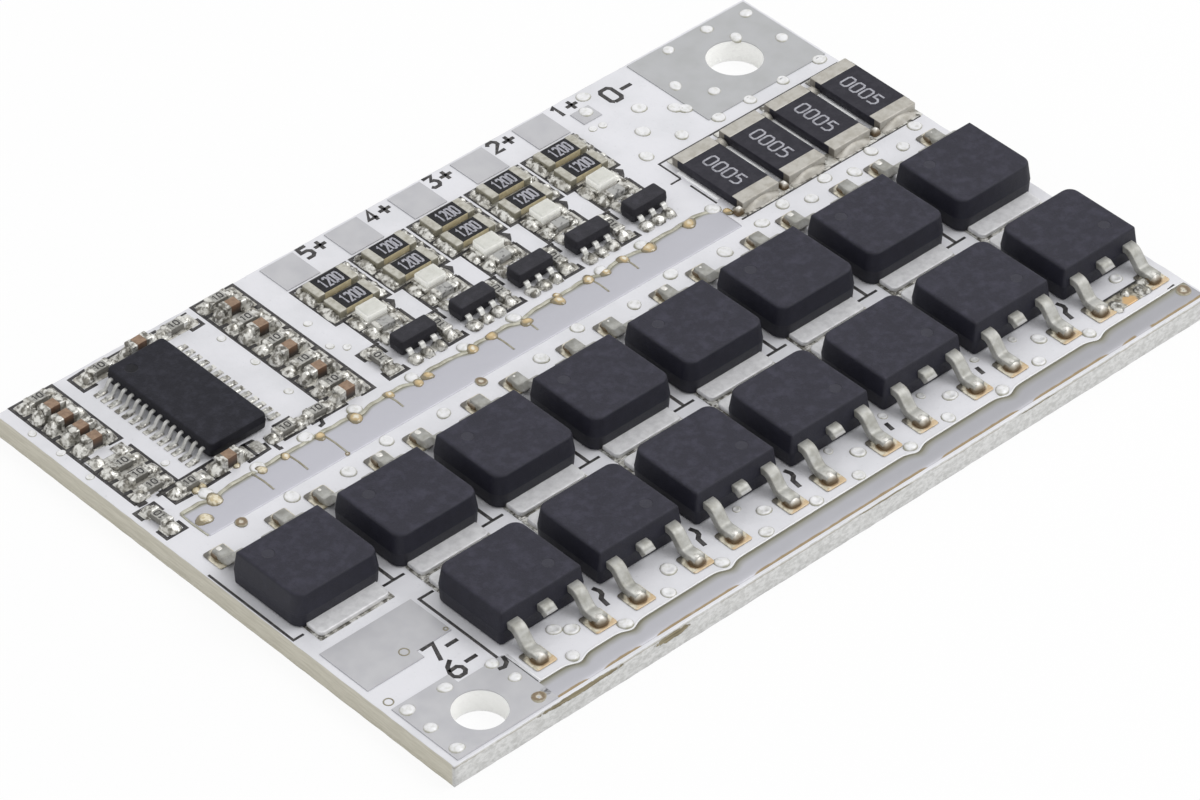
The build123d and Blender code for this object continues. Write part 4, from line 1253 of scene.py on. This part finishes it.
# Painted shade: faces that turn left or right are darker.
end_side_shade = abs(shunt_tin.facing()[0])
end_tone = shunt_tin.mix(end_side_shade.rise(0.6, 0.9), end_tone, tone(128, 123, 115))
clouded(shunt_tin, end_tone, end_cloud, roughness=0.42, swing=0.2, depth=0.03)
made("shunt_wrapped_ends", shunt_caps, shunt_tin, "tinned_lead", "shunt_ends")

# In each gap between the shunts a low ridge of white mask, given a faint glow: painted light in the
# shaded gaps.
dams = [line((x, 26.7), (x, 30.3), width=0.26, height=0.05) for x in (45.36, 49.27, 53.22, 57.17)]
dam_white = Finish(
    "glowing_mask_dams",
    IOR=1.5,
    Coat_Weight=0.3,
    Emission_Color=(1.0, 1.0, 1.0, 1.0),
    Emission_Strength=0.16,
)
dam_cloud = dam_white.noise(0.4, 2.0)
dam_tone = dam_white.mix(dam_cloud, tone(255, 255, 255), tone(240, 242, 246))
clouded(dam_white, dam_tone, dam_cloud, roughness=0.3, swing=0.2, depth=0.02)
made("glowing_mask_dams", gathered(dams), dam_white, "solder_mask")
made("chip_figures", gathered(pale_figures), pale_ink, "lamp_lens")

# Lamps: one to a channel, a white ceramic base with tinned ends wrapped round it, soldered down
# by them, under a cast milky lens.
lamp_spots = [(x + channel_middle, 32.555) for x in channels]
lamp_middles, lamp_caps, lamp_places = chips(lamp_spots, 2.0, 1.3, 0.3, 0.24, [0] * 5)
base_white = Finish("lamp_ceramic", Roughness=0.5)
base_cloud = base_white.noise(0.3, 3.0, 0.6)
base_white.feed(
    Base_Color=base_white.mix(base_cloud.rise(0.4, 0.7), tone(232, 231, 226), tone(206, 204, 198)),
    Normal=base_white.relief(base_cloud, 0.02),
)
made("lamp_ceramics", lamp_middles, base_white, "lamp_base", "lamp_bases")
made("lamp_wrapped_ends", lamp_caps, solder, "tinned_lead", "lamp_ends")

lens_levels = [(0.0, 0.02), (0.03, 0.0)] + edge_round(0.53, 0.0, 0.0, 0.16)
lens_shape = drawn_block(lens_levels, 1.56, 1.24, [0.12] * 4, 3)
lens_places = lamp_places.copy()
lens_places[:, 2] += 0.27
milk = Finish(
    "milky_lens",
    IOR=1.5,
    Emission_Strength=0.16,
    Subsurface_Weight=0.8,
    Subsurface_Radius=(1.0, 1.0, 1.0),
    Subsurface_Scale=0.0005,
)
milk_cloud = milk.noise(0.5, 3.0, 0.6)
milk_tone = milk.mix(milk_cloud.rise(0.35, 0.75), tone(214, 214, 208), tone(203, 203, 196))
# Painted light: the lens's sides are paler than its top and given a faint glow.
milk_tone = milk.mix(milk.upward().rise(0.3, 0.8), tone(240, 240, 234), milk_tone)
clouded(milk, milk_tone, milk_cloud, roughness=0.3, swing=0.2, depth=0.03)
painted_side_glow, no_glow = (1.0, 1.0, 0.96, 1.0), (0.0, 0.0, 0.0, 1.0)
milk.feed(Emission_Color=milk.mix(milk.upward().rise(0.1, 0.9), painted_side_glow, no_glow))
made("lamp_milky_lenses", copies(lens_shape, lens_places), milk, "lamp_lens", "lamp_lenses")

# Switches: one small package to a channel, moulded of the same compound as the transistors, with
# three formed and tinned pins on each side.
switch_spots = [(x + 3.075, switch_y) for x in channels]
switch_finish = compound(
    "switch_compound", gloss=0.4, top_tone=(24, 23, 32), side_tone=(22, 21, 30),
    mark_x=5.0, mark_y=5.0, mark_radius=0.1, mark_tone=(25, 24, 30),
)
switch_levels = [(0.08, 0.1), (0.1, 0.07), (0.58, 0.008), (0.605, 0.0), (0.63, 0.008)]
switch_levels += edge_round(1.13, 0.1, 0.06, 0.12)
switch_shape = drawn_block(switch_levels, 2.9, 1.3, [0.2] * 4, 3)
switch_bodies = copies(switch_shape, uneven(switch_spots, pad_top, 0.0, 0.012))
made(
    "switch_mouldings", switch_bodies, switch_finish,
    "moulding_compound", "switch_bodies", local=switch_shape[0],
)

switch_pitch = 0.95
switch_pin_corners = [(0, 0.25, 0.42), (0, -0.12, 0.42), (0, -0.34, 0.08), (0, -0.72, 0.08)]
switch_pin = carried(bent(switch_pin_corners, 0.1, 3), rounded_section(0.38, 0.15, 0.03), (1, 0, 0))
switch_pin_places = [
    (x + offset, y + side * 0.65, pad_top, math.pi * (side > 0), 1, 1, 1)
    for x, y in switch_spots
    for offset in (-switch_pitch, 0.0, switch_pitch)
    for side in (-1, 1)
]
switch_tin = matte_tin("switch_tin", (216, 216, 214), (190, 190, 186), no_tab)
made(
    "switch_formed_pins", copies(switch_pin, switch_pin_places), switch_tin,
    "tinned_lead", "switch_pins", local=switch_pin[0],
)

# Solder joints: bright uneven mounds that climb the ends of the chips, the toes of the leads and
# the pins, on pads that carry a thin uneven coat of the same solder.
for node in ("transistor_pads", "component_pads", "controller_pads"):
    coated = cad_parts[node]
    coated.data.materials.clear()
    coated.data.materials.append(solder.material)


def mound(length, width, height, fullness, count=16):
    """A mound on a squarish foot: at angle t the rim stands at 1 / (|cos t|**4 + |sin t|**4)**0.25,
    and at a share r of the way out the height is (1 - r**2)**fullness of the whole."""
    share = np.array([1.0, 1.0, 0.93, 0.78, 0.58, 0.36, 0.16, 0.0])
    rise = (1 - share**2) ** fullness * height
    rise[0] = -0.03
    points, faces = turned(np.column_stack([share, rise]), count)
    angle = np.arctan2(points[:, 1], points[:, 0])
    squarish = (np.abs(np.cos(angle)) ** 4 + np.abs(np.sin(angle)) ** 4) ** -0.25
    points[:, 0] *= squarish * length / 2
    points[:, 1] *= squarish * width / 2
    return points, faces


joint_base = pad_top - 0.01


def joints_at(spots, reach, spread=0.13):
    """Two joints for each chip place, at plus and minus `reach` along the part, sizes uneven."""
    ends = np.concatenate([spots, spots])
    side = np.repeat([-1.0, 1.0], len(spots))
    ends[:, 0] += side * reach * np.cos(ends[:, 3])
    ends[:, 1] += side * reach * np.sin(ends[:, 3])
    ends[:, 3] += noise_source.uniform(-spread, spread, len(ends))
    ends[:, 4:7] = noise_source.uniform(1 - spread, 1 + spread, (len(ends), 3))
    ends[:, 2] = joint_base
    return ends


toe_spots, pad_spots = [], []
for x, y, turn in transistor_places:
    outward = 1 if turn else -1
    for side in (-lead_offset, lead_offset):
        toe_spots.append((x + side - 0.05, y + outward * (body_length / 2 + 2.22)))
        pad_spots.append((x + side, y + outward * (body_length / 2 + 2.05)))
pin_feet = [
    (controller_x + side * 2.95, place[1])
    for place in pin_places[:pins_to_a_side]
    for side in (-1, 1)
]
switch_feet = [
    (x + offset, y + side * 1.28)
    for x, y in switch_spots
    for offset in (-switch_pitch, 0, switch_pitch)
    for side in (-1, 1)
]
beads = [(x + 1.18, y) for x in channels for y in (33.75, 34.5, 35.05, 35.85, 36.55, 37.15)]
beads += [(x + 4.85, y) for x in channels for y in (33.8, 34.6, 35.7, 36.5, 37.1)]
spare = np.array([[left_column_x, column_rows[5], pad_top, 0.0, 1, 1, 1]])
joints = [
    copies(mound(1.15, 0.92, 0.4, 1.0), joints_at(resistor_spots, 0.9)),
    copies(mound(1.15, 0.95, 0.66, 0.9), joints_at(capacitor_spots, 0.88)),
    copies(mound(0.95, 1.5, 0.34, 1.0), joints_at(bleed_places, 1.68, 0.06)),
    copies(mound(0.9, 1.2, 0.3, 0.9), joints_at(lamp_places, 1.1)),
    copies(mound(0.95, 0.9, 0.36, 1.0), joints_at(lamp_resistor_spots, 0.9)),
    copies(mound(0.85, 0.85, 0.3, 1.0), joints_at(spare, 0.9)),
    copies(mound(0.66, 0.4, 0.16, 0.8), uneven(pin_feet, joint_base, 0.15, 0.1)),
    copies(mound(0.8, 0.9, 0.36, 0.6), uneven(switch_feet, joint_base, 0.15, 0.2)),
    copies(mound(0.5, 0.5, 0.26, 0.6), uneven(beads, pad_top - 0.02, 0.2, 3.0)),
]
made("solder_joints", gathered(joints), solder, "tinned_lead")

front_fillets = [(x, 24.85) for x, y in shunt_spots]
rear_fillets = [(x, 30.55) for x in (49.08, 53.03, 56.98)]
fillets = [
    copies(mound(3.0, 0.95, 0.42, 1.2), uneven(front_fillets, joint_base, 0.02)),
    copies(mound(1.0, 0.8, 0.4, 0.8), uneven(rear_fillets, joint_base, 0.1)),
]
made("shunt_fillets", gathered(fillets), shunt_tin, "tinned_lead")

toe_solder = Finish("toe_solder", Metallic=0.35, IOR=1.5, Coat_Weight=0.3, Coat_Roughness=0.1)
toe_cloud = toe_solder.noise(0.3, 3.0, 0.6)
toe_shading = toe_solder.upward() + (toe_cloud - 0.5) * 0.4
# Painted highlight and shade: the dome's top is painted light and its lower flanks darker, ending
# in brown flux at the foot.
toe_tone = toe_solder.mix(toe_shading.rise(0.5, 0.95), tone(158, 149, 134), tone(226, 224, 219))
toe_tone = toe_solder.mix(1 - toe_shading.rise(0.25, 0.6), toe_tone, tone(104, 86, 62))
clouded(toe_solder, toe_tone, toe_cloud, roughness=0.3, swing=0.2, depth=0.06)
bridge = [(55.75, 2.95, 1.0), (58.0, 3.0, 0.95), (57.0, 3.5, 0.6), (58.55, 3.5, 0.7)]
bridge_places = uneven(bridge, pad_top - 0.02, 0.08, 3.0)
bridge_places[:, 4:6] *= np.array(bridge)[:, 2:]
bridge_places[:, 6] *= 0.6
shunt_beads = uneven([(45.3, 24.85), (49.1, 24.85), (57.0, 24.85)], pad_top, 0.08)
made("shunt_beads", copies(mound(0.6, 0.6, 0.45, 0.55), shunt_beads), toe_solder, "tinned_lead")
toes = copies(mound(0.88, 0.88, 0.54, 0.5), uneven(toe_spots, joint_base, 0.08, 0.2))
made("toe_joints", toes, toe_solder, "tinned_lead")
bridge_lump = lobed(mound(0.95, 0.95, 0.5, 0.6), 0.12)
made("bridge_joints", copies(bridge_lump, bridge_places), solder, "tinned_lead")

# Flux under the small parts: a thin uneven grey skin that fills the printed frames, rosin and tin
# together with painted shade between the parts, and amber rims that boiled out round the toes of
# the transistors' leads, each with a painted shadow in one corner.
skins = [  # left, front, right and rear
    (1.1, 34.1, 4.05, 40.38), (1.1, 28.88, 4.05, 33.2), (14.95, 27.52, 17.96, 40.38),
    (0.55, 25.4, 1.78, 26.4), (0.55, 27.3, 1.78, 28.15), (2.9, 27.42, 5.86, 28.65),
    (6.05, 27.45, 8.9, 28.75), (9.1, 27.48, 9.88, 28.52), (11.1, 27.5, 12.72, 28.68),
    (13.35, 27.52, 14.76, 28.6), (5.3, 38.85, 8.0, 40.08), (8.1, 38.9, 11.6, 40.1),
    (11.75, 38.95, 14.3, 40.2), (45.15, 24.4, 60.45, 25.5),
]
for x in channels:
    skins += [
        (x + 0.9, 33.46, x + 4.98, 37.4),
        (x + 1.5, 30.72, x + 4.46, 33.3),
        (x - 0.05, 27.5, x + 1.2, 28.3),
        (x, 29.5, x + 1.28, 30.26),
        (x + 1.7, 27.45, x + 4.45, 28.1),
    ]
skin = Finish("flux_and_shade_skin", IOR=1.5, Metallic=0.2)
skin_cloud = skin.noise(0.36, 3.0, 0.6)
skin_drift = skin.noise(1.2, 2.0)
# The skin's darker grey is partly painted shade between the parts.
skin_tone = skin.mix(skin_cloud.rise(0.4, 0.64), tone(212, 211, 206), tone(132, 129, 122))
skin_tone = skin.mix(skin_drift.rise(0.45, 0.65) * 0.5, skin_tone, tone(176, 171, 158))
clouded(skin, skin_tone, skin_cloud, roughness=0.3, swing=0.3, depth=0.06)
skin_shapes = []
for x0, y0, x1, y1 in skins:
    sheet = drawn_block([(-0.01, 0.0), (0.03, 0.02), (0.035, 0.12)], x1 - x0, y1 - y0, [0.2] * 4, 2)
    skin_shapes.append(copies(sheet, [((x0 + x1) / 2, (y0 + y1) / 2, thickness, 0, 1, 1, 1)]))
made("flux_and_shade_skins", gathered(skin_shapes), skin, "tinned_copper")

rim_sheet = drawn_block([(-0.01, 0.0), (0.02, 0.02), (0.025, 0.1)], 1.6, 1.7, [0.18] * 4, 3)
for name, first, last, dark_tone, warm_tone in (
    ("toe_flux_back", 0, 16, (128, 118, 96), (182, 172, 146)),
    ("toe_flux_front", 16, 30, (122, 98, 68), (206, 172, 122)),
):
    amber = Finish(name, IOR=1.52, Coat_Weight=0.4, Coat_Roughness=0.12)
    amber_x, amber_y = amber.own_place()
    amber_cloud = amber.noise(0.25, 3.0, 0.6)
    amber_away = distance(amber_x, amber_y, -0.05, -0.15) + (amber_cloud - 0.5) * 0.2
    amber_body = amber.mix(amber_cloud.rise(0.4, 0.65), tone(226, 219, 200), tone(188, 180, 158))
    amber_warm = (amber_y * -1 + amber_x * 0.25 + (amber_cloud - 0.5) * 0.5).rise(0.42, 0.7)
    amber_body = amber.mix(amber_warm * 0.7, amber_body, tone(*warm_tone))
    amber_body = amber.mix(1 - amber_away.rise(0.5, 0.66), amber_body, tone(*dark_tone))
    # Painted shadow: a dark grey corner at the back left of each pad, beside the lead.
    amber_painted_shadow = (amber_y - amber_x * 0.8 + (amber_cloud - 0.5) * 0.4).rise(0.75, 1.05)
    amber_body = amber.mix(amber_painted_shadow, amber_body, tone(92, 88, 80))
    clouded(amber, amber_body, amber_cloud, roughness=0.15, swing=0.3, depth=0.05)
    toe_sheets = copies(rim_sheet, uneven(pad_spots[first:last], pad_top - 0.005, 0.02, 0.02))
    made(name, toe_sheets, amber, "capacitor_ceramic", local=rim_sheet[0])

# Bridge: between the last front transistor's two outer pads the solder and its burnt flux have run
# together into one dark film with an amber patch.
bridge_sheet = drawn_block([(-0.01, 0.0), (0.05, 0.02), (0.06, 0.12)], 3.3, 1.4, [0.15] * 4, 3)
bridge_film = Finish("bridged_flux", IOR=1.52, Coat_Weight=0.5, Coat_Roughness=0.1, Metallic=0.2)
bridge_x, bridge_y = bridge_film.own_place()
bridge_cloud = bridge_film.noise(0.35, 3.0, 0.65)
bridge_tone = bridge_film.mix(bridge_cloud.rise(0.4, 0.62), tone(176, 172, 158), tone(104, 98, 84))
amber_away = distance(bridge_x, bridge_y, -0.15, -0.45) + (bridge_cloud - 0.5) * 0.5
bridge_tone = bridge_film.mix(1 - amber_away.rise(0.35, 0.6), bridge_tone, tone(204, 166, 112))
bridge_top = (bridge_y + (bridge_cloud - 0.5) * 0.2).rise(0.42, 0.56)
bridge_tone = bridge_film.mix(bridge_top, bridge_tone, tone(58, 56, 52))
clouded(bridge_film, bridge_tone, bridge_cloud, roughness=0.2, swing=0.3, depth=0.05)
bridge_shape = copies(bridge_sheet, [(56.98, 3.28, thickness, 0, 1, 1, 1)])
made("bridged_solder", bridge_shape, bridge_film, "capacitor_ceramic", local=bridge_sheet[0])
